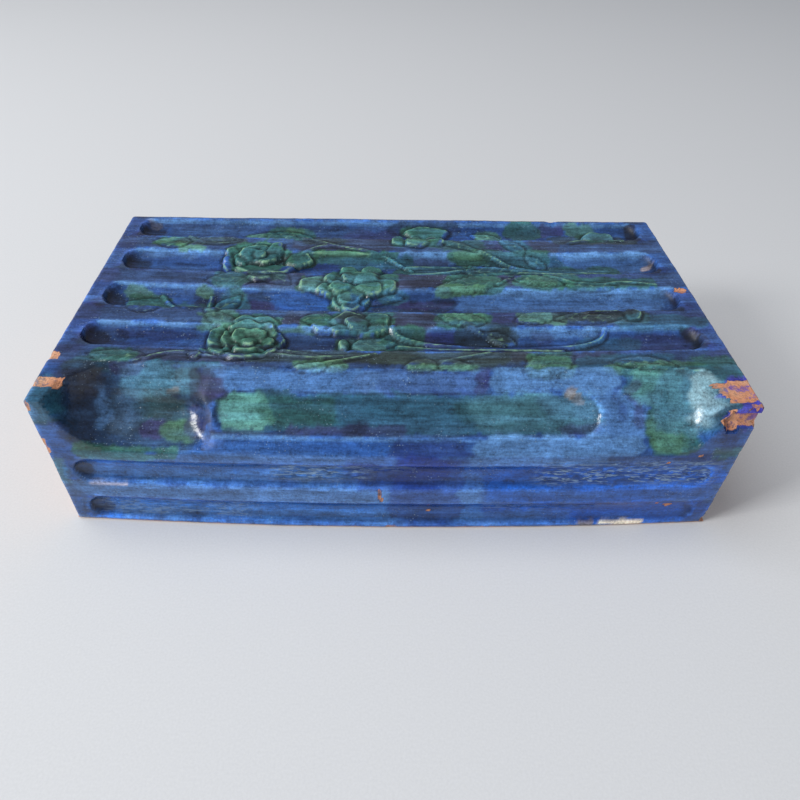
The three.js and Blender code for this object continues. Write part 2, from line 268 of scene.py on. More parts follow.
@dataclass(frozen=True)
class Flutes:
    """All the grooves of the tile."""

    form: TileForm
    pitch: float = 46.4
    first_far: float = 79.4
    widths: tuple[float, ...] = (24.5, 28.0, 28.0, 26.5)
    margin: float = 12.0
    wide_deep: float = 7.0
    ends_round: float = 11.0
    turned_deep: float = 3.9
    turned_fade: float = 0.5
    turned: tuple[tuple[float, float], ...] = ((3.5, 24.0), (39.0, 59.5))

    @property
    def end(self) -> float:
        """Where the flutes of both faces end."""
        return self.form.half_long - self.margin

    def on_wide(self) -> list[Flute]:
        """The flutes of the wide face, one pitch apart."""
        fars = [self.first_far + i * self.pitch for i in range(len(self.widths))]
        return [
            Flute(far - width, far, -self.end, self.end, self.wide_deep, self.ends_round)
            for far, width in zip(fars, self.widths)
        ]

    def on_turned(self) -> list[Flute]:
        """The flutes of the return face."""
        return [
            Flute(low, high, -self.end, self.end, self.turned_deep, self.ends_round, self.turned_fade)
            for low, high in self.turned
        ]

    def on_cant(self) -> Flute:
        """The shallow flute of the cant."""
        return Flute(low=12.0, high=36.5, start=-108.0, end=125.0, deep=2.8, round=9.0)


@dataclass(frozen=True)
class Scoops:
    """The hollows that stop the cant.

    Each station has its distance from the tile's end, its reach on each face and its depth under the cant.
    """

    form: TileForm
    left: tuple[tuple[float, float, float], ...] = (
        (10, 0, 0), (11, 5, 1), (13, 13, 4), (17, 21, 7.5), (22, 27, 10), (30, 34, 11.3), (36, 37, 10.8),
        (44, 38, 10), (62, 38, 10), (80, 38, 9.4), (86, 38, 8.6), (90, 38, 7.2), (93, 38, 5.5), (96, 38, 3.3),
        (98.5, 38, 1.1), (99.6, 38, 0.3), (101, 38, 0),
    )
    right: tuple[tuple[float, float, float], ...] = (
        (64, 38, 0), (56, 38, 1.0), (48, 38, 3.2), (42, 38, 5.4), (36, 36, 7.4), (31, 33, 9.0), (28, 30, 10),
        (25, 26, 10.8), (22, 21, 11.2), (19.5, 16.5, 11), (17.5, 12, 10), (16, 8, 7.6), (14, 0, 0),
    )
    rim_round: float = 1.6

    LIP_IN = 99.0
    BOWL = 0.8
    END_BOWL = 0.35
    SLACK = 0.8

    def stations(self) -> Array:
        """All stations from left to right as rows of x, reach and depth."""
        half = self.form.half_long
        left = [(inset - half, reach, deep) for inset, reach, deep in self.left]
        right = [(half - inset, reach, deep) for inset, reach, deep in self.right]
        return np.array([(-half - 5, 0, 0), *left, *right, (half + 5, 0, 0)], dtype=float)

    def rise(self, x: Array, v: Array) -> Array:
        """How far the corner stands out from the full cant, negative where it is scooped.

        Square clay is a tent over the cant, as high as the nearer edge is far. It is cut off by a chord
        that lies (cant - reach) / root 2 out, hollowed by its depth times sin(pi t)^BOWL along the chord.
        The power falls to END_BOWL at the right end, whose wall is steeper at the sides. The left scoop's
        inner lip, LIP_IN from the tile's end, wanders and is slack in its upper half.

        Args:
            x: places along the tile.
            v: places up the cant from its edge on the return face.

        Returns:
            Height in mm along the cant's normal.
        """
        stations = self.stations()
        half = self.form.half_long
        lip = self.LIP_IN - half
        wobble = 2.8 * np.sin(v * 0.115 + 0.9) + 1.0 * np.sin(v * 0.33)
        near_lip = smooth_step(lip - 30, lip - 6, x) * smooth_step(lip + 22, lip + 8, x)
        moved = x - wobble * near_lip
        reach = np.interp(moved, stations[:, 0], stations[:, 1])
        slack = self.SLACK * smooth_step(27, 41, v) * smooth_step(lip - 95, lip - 8, x) * (x < 0)
        deep = np.interp(moved, stations[:, 0], stations[:, 2]) * (1 - slack)
        tent = np.minimum(v, self.form.cant_width - v)
        chord = (self.form.cant - reach) * HALF_ROOT
        along = np.clip((v - chord) / np.maximum(self.form.cant_width - 2 * chord, 1e-3), 0.0, 1.0)
        bowl = self.BOWL + (self.END_BOWL - self.BOWL) * smooth_step(half - 42, half - 26, x)
        floor = chord - deep * np.sin(np.pi * along) ** bowl
        return -smooth_max(-tent, -floor, self.rim_round)


class OutsideLine:
    """The outside of the tile from its foot over the fronts to the rim of the far edge, row by row.

    It is a run of straight lines and one arc, sampled finely, smoothed a little so that every arris is
    soft, and then read off at the rows. Each row knows its face and its place across that face.
    """

    FINE = 0.25
    SOFT = 1.3
    RIM_STEP = 1.4

    def __init__(self, form: TileForm, steps: dict[Face, float]) -> None:
        """Works out the rows.

        Args:
            form: the tile's sizes.
            steps: distance between rows on each face.
        """
        self.form = form
        turned = form.high - form.cant
        flat_end = form.deep - form.back_round
        arc = np.linspace(0, np.pi / 2, 9)[1:]
        corner = [
            (flat_end + form.back_round * np.sin(a), form.high - form.back_round * (1 - np.cos(a)))
            for a in arc
        ]
        points = [(0.0, form.foot_round), (0.0, turned), (form.cant, form.high), (flat_end, form.high)]
        points += corner + [(form.deep, form.high - form.plate)]
        line = np.array(points)
        along = np.concatenate([[0.0], np.cumsum(np.hypot(*np.diff(line, axis=0).T))])
        fine = np.arange(0.0, along[-1], self.FINE)
        path = np.stack([np.interp(fine, along, line[:, i]) for i in (0, 1)], axis=1)
        path = self.softened(path)
        tangent = np.gradient(path, axis=0)
        tangent /= np.linalg.norm(tangent, axis=1)[:, None]
        self.turned_end, self.cant_end, wide_end = along[1:4]
        runs = [
            (0.0, self.turned_end, steps[Face.TURNED]),
            (self.turned_end, self.cant_end, steps[Face.CANT]),
            (self.cant_end, wide_end, steps[Face.WIDE]),
            (wide_end, along[-1], self.RIM_STEP),
        ]
        self.s = np.concatenate(
            [np.linspace(a, b, round((b - a) / step), endpoint=False) for a, b, step in runs]
            + [[along[-1]]]
        )
        self.y = np.interp(self.s, fine, path[:, 0])
        self.z = np.interp(self.s, fine, path[:, 1])
        self.ny = -np.interp(self.s, fine, tangent[:, 1])
        self.nz = np.interp(self.s, fine, tangent[:, 0])

    def softened(self, path: Array) -> Array:
        """The path smoothed by a bell curve, with its ends held by odd reflection."""
        reach = int(4 * self.SOFT / self.FINE)
        offsets = np.arange(-reach, reach + 1) * self.FINE
        bell = np.exp(-0.5 * (offsets / self.SOFT) ** 2)
        bell /= bell.sum()
        before = 2 * path[0] - path[reach:0:-1]
        after = 2 * path[-1] - path[-2:-reach - 2:-1]
        padded = np.concatenate([before, path, after])
        return np.stack([np.convolve(padded[:, i], bell, mode="valid") for i in (0, 1)], axis=1)

    @property
    def height_on_turned(self) -> Array:
        """Height above the floor, as a place across the return face."""
        return self.s + self.form.foot_round

    @property
    def up_cant(self) -> Array:
        """Place up the cant from its edge on the return face, 0 and the full width beyond it."""
        return np.clip(self.s - self.turned_end, 0.0, self.form.cant_width)

    @property
    def over_wide(self) -> Array:
        """Place across the wide face, carried on down the cant as if both were unrolled."""
        return self.form.cant + self.s - self.cant_end

    def on(self, face: Face) -> Array:
        """Which rows lie on a face."""
        if face is Face.TURNED:
            return self.s < self.turned_end
        if face is Face.CANT:
            return (self.s >= self.turned_end) & (self.s <= self.cant_end)
        return self.s > self.cant_end


class Relief:
    """The moulded sprays as heights over the wide face and the cant, unrolled flat.

    x and q are the columns and rows of a grid. Places are given as they are seen from above the return
    face, where a point on a flute's floor seems to lie nearer, so seen holds the seen place of each point.
    """

    SEEN = 0.87
    SEEN_DOWN_CANT = 0.476
    SINK = 0.55
    BLEND = 0.3
    ROOM_NEAR = 9
    ROOM_FAR = 11

    def __init__(self, x: Array, q: Array, flutes: list[Flute]) -> None:
        """Lays the plain ground.

        Args:
            x: columns along the tile.
            q: rows across the wide face and on down the cant.
            flutes: the flutes of the wide face.
        """
        self.x = x
        self.q = q
        across, rows = np.meshgrid(x, q, indexing="ij")
        self.ground = -np.max([flute.depth(across, rows) for flute in flutes], axis=0)
        dip = np.max([flute.dip(across, rows) for flute in flutes], axis=0)
        down_cant = np.minimum(0.0, rows - TileForm.cant)
        self.seen = rows - self.SEEN * dip + self.SEEN_DOWN_CANT * down_cant
        self.across = across
        self.height = self.ground.copy()
        self.thin = np.zeros_like(across)

    @property
    def moulded(self) -> Array:
        """How far the sprays stand out from the plain ground."""
        return self.height - self.ground

    def window(self, low_x: float, high_x: float, low_q: float, high_q: float) -> tuple[slice, slice]:
        """The part of the grid between two places each way, with room where points look moved."""
        a, b = np.searchsorted(self.x, (low_x, high_x))
        c, d = np.searchsorted(self.q, (low_q - self.ROOM_NEAR, high_q + self.ROOM_FAR))
        return slice(max(a - 1, 0), b + 1), slice(max(c - 1, 0), d + 1)

    def carve(self, part: tuple[slice, slice], away: Array, deep: float, wide: float) -> None:
        """Presses the soft groove that outlines a form, where away is the distance outside its edge."""
        groove = np.exp(-(((away - 0.6 * wide) / wide) ** 2))
        self.height[part] -= deep * groove
        self.thin[part] *= 1 - groove

    def lay(self, part: tuple[slice, slice], level: Array, inside: Array, thin: Array) -> None:
        """Moulds a form into the grid.

        Args:
            part: the window of the grid.
            level: heights over the plane of the wide face.
            inside: 0 to 1, how much of the form is at each point.
            thin: 0 to 1, where the glaze has run off the form's ridges.
        """
        old = self.height[part]
        new = smooth_max(old, level, self.BLEND)
        self.height[part] = old + (new - old) * inside
        self.thin[part] += inside * (thin - self.thin[part])


@dataclass(frozen=True)
class Leaf:
    """A pointed leaf in two domed halves, with side veins."""

    stalk: tuple[float, float]
    tip: tuple[float, float]
    wide: float
    bend: float = 0.0
    lift: float = 2.2
    teeth: float = 0.05

    TOOTH_STEP = 5.0
    VEIN_STEP = 8.5
    VEIN_SLANT = 7.0
    VEIN_LIFT = 0.8

    def raise_on(self, relief: Relief) -> None:
        """Moulds the leaf.

        Its half width is sin(pi u^0.8)^0.75 along it, with small teeth. Each half swells as a dome and
        dips to the midrib, with slanting veins. The glaze is thin on the midrib, the veins and the edge.

        Args:
            relief: the grid to raise it on.
        """
        reach = self.wide + abs(self.bend)
        part = relief.window(
            min(self.stalk[0], self.tip[0]) - reach, max(self.stalk[0], self.tip[0]) + reach,
            min(self.stalk[1], self.tip[1]) - reach, max(self.stalk[1], self.tip[1]) + reach,
        )
        px = relief.across[part] - self.stalk[0]
        pq = relief.seen[part] - self.stalk[1]
        ax = self.tip[0] - self.stalk[0]
        aq = self.tip[1] - self.stalk[1]
        length = np.hypot(ax, aq)
        u = (px * ax + pq * aq) / length**2
        aside = (pq * ax - px * aq) / length - self.bend * 4 * u * (1 - u)
        body = np.sin(np.pi * np.clip(u, 0.0, 1.0) ** 0.8) ** 0.75
        teeth = 1 + self.teeth * np.sin(2 * np.pi * u * length / self.TOOTH_STEP)
        half = 0.5 * self.wide * body * teeth + 1e-3
        t = np.abs(aside) / half
        beyond = np.maximum(np.maximum(-u, u - 1) * length, 0.0)
        away = np.hypot(np.maximum(np.abs(aside) - half, 0.0), beyond)
        inside = smooth_step(0.5, -0.7, np.maximum(np.abs(aside) - half, beyond))
        dome = np.clip(1 - t * t, 0.0, 1.0) ** 0.45
        valley = 1 - 0.4 * np.exp(-((aside / 1.5) ** 2))
        slant = u * length / self.VEIN_STEP - np.abs(aside) / self.VEIN_SLANT
        vein = np.clip(np.cos(2 * np.pi * slant), 0.0, 1.0) ** 3 * np.sqrt(body) * (t < 0.95)
        level = 0.8 * relief.ground[part] + self.lift * np.sqrt(body) * dome * valley
        level += self.VEIN_LIFT * vein
        relief.carve(part, away, 0.9, 1.3)
        edge = np.exp(-((((1 - t) * half - 0.6) / 0.7) ** 2))
        rib = np.exp(-((aside / 0.9) ** 2)) * body
        relief.lay(part, level, inside, np.clip(np.maximum(0.65 * edge, rib) + vein, 0.0, 1.0))


@dataclass(frozen=True)
class Stem:
    """A stem: a rounded ridge along a smooth curve, tapering to its tip."""

    points: tuple[tuple[float, float], ...]
    wide: float = 3.4
    taper: float = 0.4
    lift: float = 1.5

    SAMPLES = 12

    def curve(self) -> Array:
        """The points joined by a Catmull-Rom curve, with SAMPLES places to each span."""
        p = np.array(self.points, dtype=float)
        p = np.concatenate([[2 * p[0] - p[1]], p, [2 * p[-1] - p[-2]]])
        t = np.linspace(0.0, 1.0, self.SAMPLES, endpoint=False)[:, None]
        spans = [
            0.5 * (2 * b + (c - a) * t + (2 * a - 5 * b + 4 * c - d) * t**2 + (3 * b - a - 3 * c + d) * t**3)
            for a, b, c, d in zip(p[:-3], p[1:-2], p[2:-1], p[3:])
        ]
        return np.concatenate(spans + [p[-2:-1]])

    def raise_on(self, relief: Relief) -> None:
        """Moulds the stem: a bell across it, where t is the distance from the curve over its half width.

        Args:
            relief: the grid to raise it on.
        """
        curve = self.curve()
        low = curve.min(axis=0) - 2 * self.wide
        high = curve.max(axis=0) + 2 * self.wide
        part = relief.window(low[0], high[0], low[1], high[1])
        px = relief.across[part]
        pq = relief.seen[part]
        nearest = np.full(px.shape, 1e6)
        place = np.zeros(px.shape)
        for i, (a, b) in enumerate(zip(curve[:-1], curve[1:])):
            span = b - a
            t = np.clip(((px - a[0]) * span[0] + (pq - a[1]) * span[1]) / (span @ span), 0.0, 1.0)
            gap = np.hypot(px - a[0] - t * span[0], pq - a[1] - t * span[1])
            place = np.where(gap < nearest, (i + t) / (len(curve) - 1), place)
            nearest = np.minimum(gap, nearest)
        slim = 1 - self.taper * place
        half = 0.5 * self.wide * slim
        t = nearest / half
        inside = smooth_step(1.5, 0.9, t)
        level = 0.9 * relief.ground[part] + self.lift * slim * np.exp(-0.9 * t * t)
        relief.carve(part, np.maximum(nearest - half, 0.0), 0.5, 1.3)
        relief.lay(part, level, inside, 0.6 * np.exp(-((nearest / 0.8) ** 2)))


@dataclass(frozen=True)
class Petal:
    """A cupped petal or a bud's scale: an oval whose outward rim is rolled up."""

    x: float
    y: float
    out: float
    aside: float
    turn: float
    top: float
    rim: float = 1.0
    seat: float = 0.9

    def raise_on(self, relief: Relief) -> None:
        """Moulds the petal: a dome, seat high, with a rolled rim towards its outward end and a wavy edge.

        Args:
            relief: the grid to raise it on.
        """
        reach = max(self.out, self.aside) + 3
        part = relief.window(self.x - reach, self.x + reach, self.y - reach, self.y + reach)
        angle = np.radians(self.turn)
        px = relief.across[part] - self.x
        pq = relief.seen[part] - self.y
        p = (px * np.cos(angle) + pq * np.sin(angle)) / self.out
        q = (-px * np.sin(angle) + pq * np.cos(angle)) / self.aside
        bearing = np.arctan2(q, p)
        wavy = 1 + 0.07 * np.sin(5 * bearing + self.x) + 0.05 * np.sin(3 * bearing + self.y)
        radius = np.hypot(p, q) * wavy
        inward = (1 - radius) * min(self.out, self.aside)
        outward = np.clip(0.5 + 0.5 * p / np.maximum(radius, 1e-3), 0.0, 1.0)
        dome = np.clip(1 - radius * radius, 0.0, 1.0) ** 0.5
        roll = 1.35 * self.rim * np.exp(-(((inward - 1.3) / 1.1) ** 2)) * outward
        level = self.top - self.seat + self.seat * dome - 0.9 * self.rim * (1 - outward) + roll
        level = level + relief.SINK * relief.ground[part]
        inside = smooth_step(0.45, -0.6, -inward)
        relief.carve(part, np.maximum(-inward, 0.0), 0.85, 1.2)
        edge = 0.8 * np.exp(-(((inward - 1.0) / 0.75) ** 2)) * (0.1 + 0.9 * outward)
        relief.lay(part, level, inside, edge)


class Tint(Enum):
    """The glaze colours, as linear light; some also serve for painted shade and painted highlights."""

    COBALT = linear(42, 78, 138)
    # Deep blue, for glaze and for painted shade.
    DEEP = linear(26, 44, 100)
    NAVY = linear(10, 40, 124)
    # Light blue, for pale glaze and for painted highlights and reflections.
    LIGHT = linear(86, 130, 180)
    VIOLET = linear(48, 44, 90)
    SLATE = linear(45, 64, 98)
    BLUE = linear(38, 88, 164)
    AZURE = linear(60, 132, 210)
    GREEN = linear(44, 88, 74)
    TEAL = linear(42, 88, 104)
    LEAF = linear(76, 120, 88)
    DARK_TEAL = linear(26, 48, 60)
    OLIVE = linear(41, 54, 51)
    BROWN = linear(45, 43, 55)
    # Near-black blue, for dark glaze and for painted shade and shadow lines.
    INK_AND_SHADE = linear(20, 26, 46)
    SMEAR = linear(72, 62, 180)
    SEA = linear(74, 122, 142)
    MINT = linear(94, 154, 142)
    CLAY_STAIN = linear(156, 108, 84)
    # Milky white, for milky glaze with a painted highlight on it.
    MILK_AND_HIGHLIGHT = linear(170, 202, 208)
    ROYAL = linear(16, 92, 196)
    TAN = linear(120, 110, 100)
    # Peach, for a pale mark and for a painted highlight on the return face.
    PEACH = linear(196, 176, 162)
    CREAM = linear(226, 212, 186)


@dataclass(frozen=True)
class Stroke:
    """A stroke of coloured glaze, or of painted shade or highlight: a rounded oblong on a face, with soft
    uneven edges.

    Its edges are calmer where its narrower half is under CALM_UNDER.
    """

    low_x: float
    high_x: float
    low_v: float
    high_v: float
    tint: Tint
    weight: float = 0.8
    soft: float = 2.5

    CALM_UNDER = 4.5

    def paint(self, tints: Array, x: Array, v: Array, rough: Array) -> None:
        """Mixes the stroke's colour into tints.

        Args:
            tints: colours of the points, changed in place.
            x: places along.
            v: places across the face.
            rough: unevenness of the edge in mm.
        """
        half_x = 0.5 * (self.high_x - self.low_x)
        half_v = 0.5 * (self.high_v - self.low_v)
        corner = 0.8 * min(half_x, half_v)
        dx = np.abs(x - self.low_x - half_x) - half_x + corner
        dv = np.abs(v - self.low_v - half_v) - half_v + corner
        gap = np.hypot(np.maximum(dx, 0), np.maximum(dv, 0)) + np.minimum(np.maximum(dx, dv), 0) - corner
        soft = 0.6 * self.soft
        calm = min(1.0, min(half_x, half_v) / self.CALM_UNDER)
        mask = self.weight * smooth_step(soft, -soft, gap + calm * rough)
        tints += mask[..., None] * (np.array(self.tint.value) - tints)


@dataclass(frozen=True)
class Break:
    """A lost piece: an outline in plan or in front view, cut back to a rough plane."""

    outline: tuple[tuple[float, float], ...]
    downward: bool
    level: float
    slope: tuple[float, float] = (0.0, 0.0)
    rough: float = 0.5

    FRONT_DEEP = 25.0

    def inside(self, a: Array, b: Array) -> Array:
        """Signed distance into a convex outline given counter-clockwise, positive inside."""
        points = np.array(self.outline)
        depth = np.full(a.shape, 1e6)
        for p, q in zip(points, np.roll(points, -1, axis=0)):
            edge = (q - p) / np.hypot(*(q - p))
            depth = np.minimum(depth, edge[0] * (b - p[1]) - edge[1] * (a - p[0]))
        return depth

    def cut(self, spots: Array, clay: Array) -> None:
        """Cuts the points inside the outline back to the plane, and marks them as bare clay.

        In front view it leaves alone what lies deeper than FRONT_DEEP.

        Args:
            spots: x, y and z of every point, changed in place.
            clay: 0 to 1, changed in place.
        """
        x, y, z = spots[..., 0], spots[..., 1], spots[..., 2]
        a, b = (x, y) if self.downward else (x, z)
        jag = 0.7 * mottle(a, b, 3.0, 3.0, 71) + 0.3 * mottle(a, b, 1.2, 1.2, 72)
        depth = self.inside(a, b) + jag
        start_a, start_b = self.outline[0]
        plane = self.level + self.slope[0] * (a - start_a) + self.slope[1] * (b - start_b)
        plane = plane + self.rough * (0.6 * mottle(a, b, 4.0, 3.0, 73) + 0.4 * mottle(a, b, 1.5, 1.5, 74))
        bite = smooth_step(-0.2, 0.9, depth)
        if self.downward:
            target = np.minimum(z, plane)
            cut_off = z - target
            spots[..., 2] = z + bite * (target - z)
        else:
            target = np.maximum(y, plane)
            cut_off = np.where(y < self.FRONT_DEEP, target - y, 0.0)
            spots[..., 1] = y + bite * cut_off
        mark = smooth_step(-0.3, 0.4, depth) * smooth_step(0.05, 0.5, cut_off)
        np.maximum(clay, mark, out=clay)


@dataclass(frozen=True)
class Fleck:
    """A small spot where the glaze has popped off or clay sticks to it."""

    face: Face
    x: float
    v: float
    half_x: float
    half_v: float
    deep: float = 0.6

    def mark(self, x: Array, v: Array, clay: Array, drop: Array) -> None:
        """Marks the spot as bare clay and lets it drop by deep.

        Args:
            x: places along.
            v: places across the face.
            clay: 0 to 1, changed in place.
            drop: depth in mm, changed in place.
        """
        radius = np.hypot((x - self.x) / self.half_x, (v - self.v) / self.half_v)
        radius = radius + 0.25 * mottle(x, v, 1.6, 1.6, 81)
        np.maximum(clay, smooth_step(1.15, 0.85, radius), out=clay)
        drop += self.deep * smooth_step(1.1, 0.7, radius)


def rose_at_left() -> list[Petal]:
    """The open rose over the nearest flute, from its outer petals to its heart."""
    return [
        Petal(-96, 64, 22, 14, 0, -0.8, 0.0, 4.0), Petal(-96, 84, 6.5, 8, 100, 0.4, 0.9),
        Petal(-83, 83.5, 6, 8, 70, 0.4, 0.9), Petal(-76, 64, 7, 10, 10, 0.1, 0.9),
        Petal(-80, 53.5, 6, 8.5, -50, 0.3, 1.0), Petal(-106, 52, 5.5, 8, -120, 0.4, 1.0),
        Petal(-94, 49.5, 5.5, 12, -92, 0.6, 1.2), Petal(-110, 57, 6.5, 8, 205, 0.4, 1.0),
        Petal(-112.5, 66, 7, 11, 175, 0.7, 1.3), Petal(-84, 73, 9, 10, 45, 0.8, 1.0),
        Petal(-103, 64, 7.5, 9.5, 185, 1.2, 1.2), Petal(-95, 75, 8.5, 11, 97, 1.2, 1.1),
        Petal(-84, 61, 7, 8, -5, 1.1, 1.0), Petal(-92, 56, 5.5, 9.5, -90, 1.3, 1.1),
        Petal(-95, 66, 9, 8.5, 140, 1.9, 0.9), Petal(-88, 67.5, 6.5, 7.5, 45, 2.0, 0.8),
        Petal(-92, 60, 4.5, 5, -90, 2.4, 0.6, 2.0), Petal(-79.5, 60, 4, 4.2, 0, 1.7, 0.8),
    ]


def rose_behind() -> list[Petal]:
    """The rose over the third flute, with a frilled left edge and a broad apron."""
    return [
        Petal(-101, 164, 21, 15, 0, -0.8, 0.0, 4.0), Petal(-120.5, 171, 4.5, 6, 165, 0.4, 1.0),
        Petal(-122, 161, 4.5, 6, 180, 0.4, 1.0), Petal(-121, 151.5, 4.5, 6, 195, 0.4, 1.0),
        Petal(-94, 149.5, 7.5, 22, -90, 0.2, 1.0), Petal(-69, 163, 10, 8.5, 0, 0.3, 0.8),
        Petal(-97, 178, 5.5, 10, 100, 1.0, 0.9), Petal(-112, 163, 6, 9, 180, 0.9, 1.1),
        Petal(-100, 167, 12, 15, 90, 1.1, 0.8), Petal(-88, 173, 10, 6, 68, 1.7, 1.1),
        Petal(-106, 167, 9, 7.5, 150, 1.6, 1.0), Petal(-94, 161.5, 6.5, 9, -70, 1.7, 1.0),
        Petal(-99, 167, 5, 5.5, 0, 2.4, 0.8, 2.0), Petal(-95, 137, 4.5, 9, -92, 1.2, 1.3),
    ]


def tulip_rose() -> list[Petal | Leaf]:
    """The half-open rose seen from the side, whose cup runs down to a point."""
    return [
        Petal(-54, 131, 12, 9, 195, 0.8, 0.9), Petal(-44, 125, 9, 8, 215, 0.9, 0.9),
        Leaf((-24, 112), (9, 117), 12, 1.0), Petal(-28, 116, 19, 14, -90, 0.2, 1.3, 2.4),
        Petal(-31, 147.5, 4.5, 7.5, 90, 1.6, 0.7, 2.4), Petal(-14.5, 147.5, 5, 8, 90, 1.7, 0.7, 2.4),
        Petal(-41, 136.5, 7, 6, 170, 1.3, 1.0), Petal(-6, 129, 10, 9, -15, 0.9, 1.0),
        Petal(-29, 118, 14, 10, -92, 0.9, 1.0), Petal(-36, 128, 10, 7, -130, 1.2, 1.0),
        Petal(-15, 126, 10, 8, -40, 1.3, 1.0), Petal(-22, 138.5, 5.5, 14, 90, 2.2, 0.8, 2.4),
        Petal(-31, 138, 4.5, 4.5, 180, 2.4, 0.8, 1.6), Petal(-28, 103.5, 6, 7, -90, 0.9, 1.2),
    ]


def small_rose() -> list[Petal | Leaf]:
    """The small rose on the second land, with a leaf at its left and one under it."""
    return [
        Leaf((-38, 87), (-61, 88), 13, -1.0), Petal(-45, 79, 6, 8, -120, 0.6, 1.0),
        Petal(-28, 87, 9, 11, 90, 0.7, 0.9), Petal(-10, 85, 9, 11, 10, 0.8, 1.0),
        Petal(-31, 77, 6, 10, -95, 1.0, 1.1), Petal(-13, 76.5, 6, 10, -70, 0.9, 1.1),
        Petal(-23, 83, 7, 9, -150, 1.6, 0.9), Petal(-31, 61, 3.6, 5.5, 180, 0.6, 0.5, 2.0),
        Leaf((-26, 61), (3, 65), 14, 1.0),
    ]


def buds() -> list[Petal]:
    """The cluster of buds near the far edge, and the single buds."""
    return [
        Petal(29, 204, 8, 18, 90, 0.6, 0.8, 2.2), Petal(7, 190, 6.5, 7, 170, 1.3, 0.9, 1.8),
        Petal(34, 189.5, 6, 8, 60, 1.1, 0.9, 1.6), Petal(20, 188.5, 8, 9, -110, 1.9, 1.1, 1.8),
        Petal(161, 93, 5.5, 7, 0, 1.2, 0.9), Petal(-122, 47, 3.8, 4.0, 0, 1.5, 0.3, 2.0),
        Petal(166, 198, 6, 13, 90, 0.5, 0.8),
    ]


def stems() -> list[Stem]:
    """The stems that join the sprays."""
    return [
        Stem(((-78, 163), (-64, 173), (-49, 181), (-24, 178), (-4, 168), (8, 158), (16, 151))),
        Stem(((-96, 198), (-82, 197), (-60, 189), (-38, 180), (-18, 175)), 3.2),
        Stem(((-66, 170), (-40, 172), (-8, 170)), 3.6, 0.3, 1.2),
        Stem(
            ((34, 193), (50, 186), (62, 179), (79, 167), (92, 157), (114, 151), (138, 149), (168, 146)),
            3.8,
        ),
        Stem(((60, 158), (80, 155), (104, 151), (130, 148.5)), 3.0),
        Stem(((12, 155), (34, 156), (52, 156), (74, 160)), 3.0),
        Stem(((14, 146), (34, 148), (52, 152), (68, 157)), 3.0),
        Stem(((50, 145), (90, 148.5), (138, 147)), 2.8),
        Stem(
            (
                (0, 80), (6, 70), (26, 62.5), (60, 58.5), (90, 58.5), (116, 60), (130, 64), (137, 70),
                (139, 78),
            ),
            4, 0.1,
        ),
        Stem(((4, 60), (30, 57.5), (70, 57), (110, 56.5)), 2.8),
        Stem(((47, 85), (56, 76), (64, 69), (72, 62)), 4.0, 0.2),
        Stem(((-76, 54), (-56, 50), (-38, 47.5), (-10, 51)), 3.0, 0.2),
        Stem(((-78, 50), (-52, 46.5), (-30, 48.5)), 2.6),
        Stem(((-57, 38), (-36, 43), (-14, 49.5)), 2.8),
        Stem(((30, 44), (44, 48), (61, 53)), 2.8),
        Stem(((-160, 112), (-154, 104), (-148, 99.5), (-138, 98), (-127, 98), (-118, 97)), 3.2),
        Stem(((-124, 96), (-126, 104), (-126, 113)), 4.0, 0.2),
        Stem(((-122, 96), (-114, 101), (-108, 106)), 3.6),
        Stem(((-152, 42), (-144, 46), (-136, 49), (-126, 49), (-110, 46), (-92, 45)), 2.8),
        Stem(((112, 143), (122, 137), (132, 133), (150, 131), (166, 133), (188, 129)), 3.0),
        Stem(((110, 90), (122, 94), (134, 97.5), (150, 98), (158, 95)), 2.8),
        Stem(((-156, 190), (-146, 184), (-136, 181.5), (-126, 183), (-116, 187)), 3.0),
        Stem(((140, 42), (156, 39), (172, 36), (190, 32)), 2.8),
        Stem(((138, 187), (150, 190), (166, 191), (182, 190)), 2.8),
        Stem(((76, 131), (84, 137), (94, 139)), 2.4),
    ]


def leaves() -> list[Leaf]:
    """The leaves of the sprays."""
    return [
        Leaf((-154, 184), (-182, 184), 15, 1.5), Leaf((-150, 187), (-116, 189), 10, 1.0),
        Leaf((-153, 103), (-185, 104), 19, 2.5), Leaf((-122, 98), (-106, 116), 13, -1.0),
        Leaf((-152, 44), (-187, 45), 13, 1.0), Leaf((-103, 81), (-125, 95), 12, 1.5),
        Leaf((-96, 142), (-132, 131), 20, 2.0, 1.6), Leaf((-92, 142), (-72, 129), 15, 1.5, 1.4),
        Leaf((-76, 198), (-116, 197), 10, -2.0), Leaf((-60, 193), (-92, 206), 13, 1.5),
        Leaf((-40, 38), (-62, 37), 11, 1.0), Leaf((28, 40.5), (7, 38), 12, -1.5),
        Leaf((28, 40.5), (50, 38), 10, 1.0), Leaf((80, 35), (112, 49), 20, -1.0, 2.2, 0.1),
        Leaf((172, 38), (134, 43), 12, -2.0), Leaf((80, 139), (32, 127), 18, 1.5, 2.2, 0.1),
        Leaf((88, 139), (124, 131), 14, 1.5, 2.0, 0.1), Leaf((124, 131), (160, 128), 9, -1.5),
        Leaf((82, 87), (114, 94), 13, 1.0, 2.0, 0.1), Leaf((110, 90), (154, 91), 12, -1.0),
        Leaf((62, 86), (30, 95), 15, 1.5, 2.2, 0.1), Leaf((80, 64), (60, 77), 11, 1.0),
        Leaf((56, 152), (96, 152), 12, -1.0, 2.2), Leaf((102, 174), (85, 195), 11, 0.5),
        Leaf((117, 156), (102, 172), 9, 0.5), Leaf((88, 197), (64, 204), 11, 1.0),
        Leaf((36, 193), (66, 176), 9, 1.0, 1.8),
    ]


def sprays() -> list[Leaf | Stem | Petal]:
    """The moulded sprays of the wide face, from the ground up."""
    return stems() + leaves() + tulip_rose() + small_rose() + rose_behind() + rose_at_left() + buds()


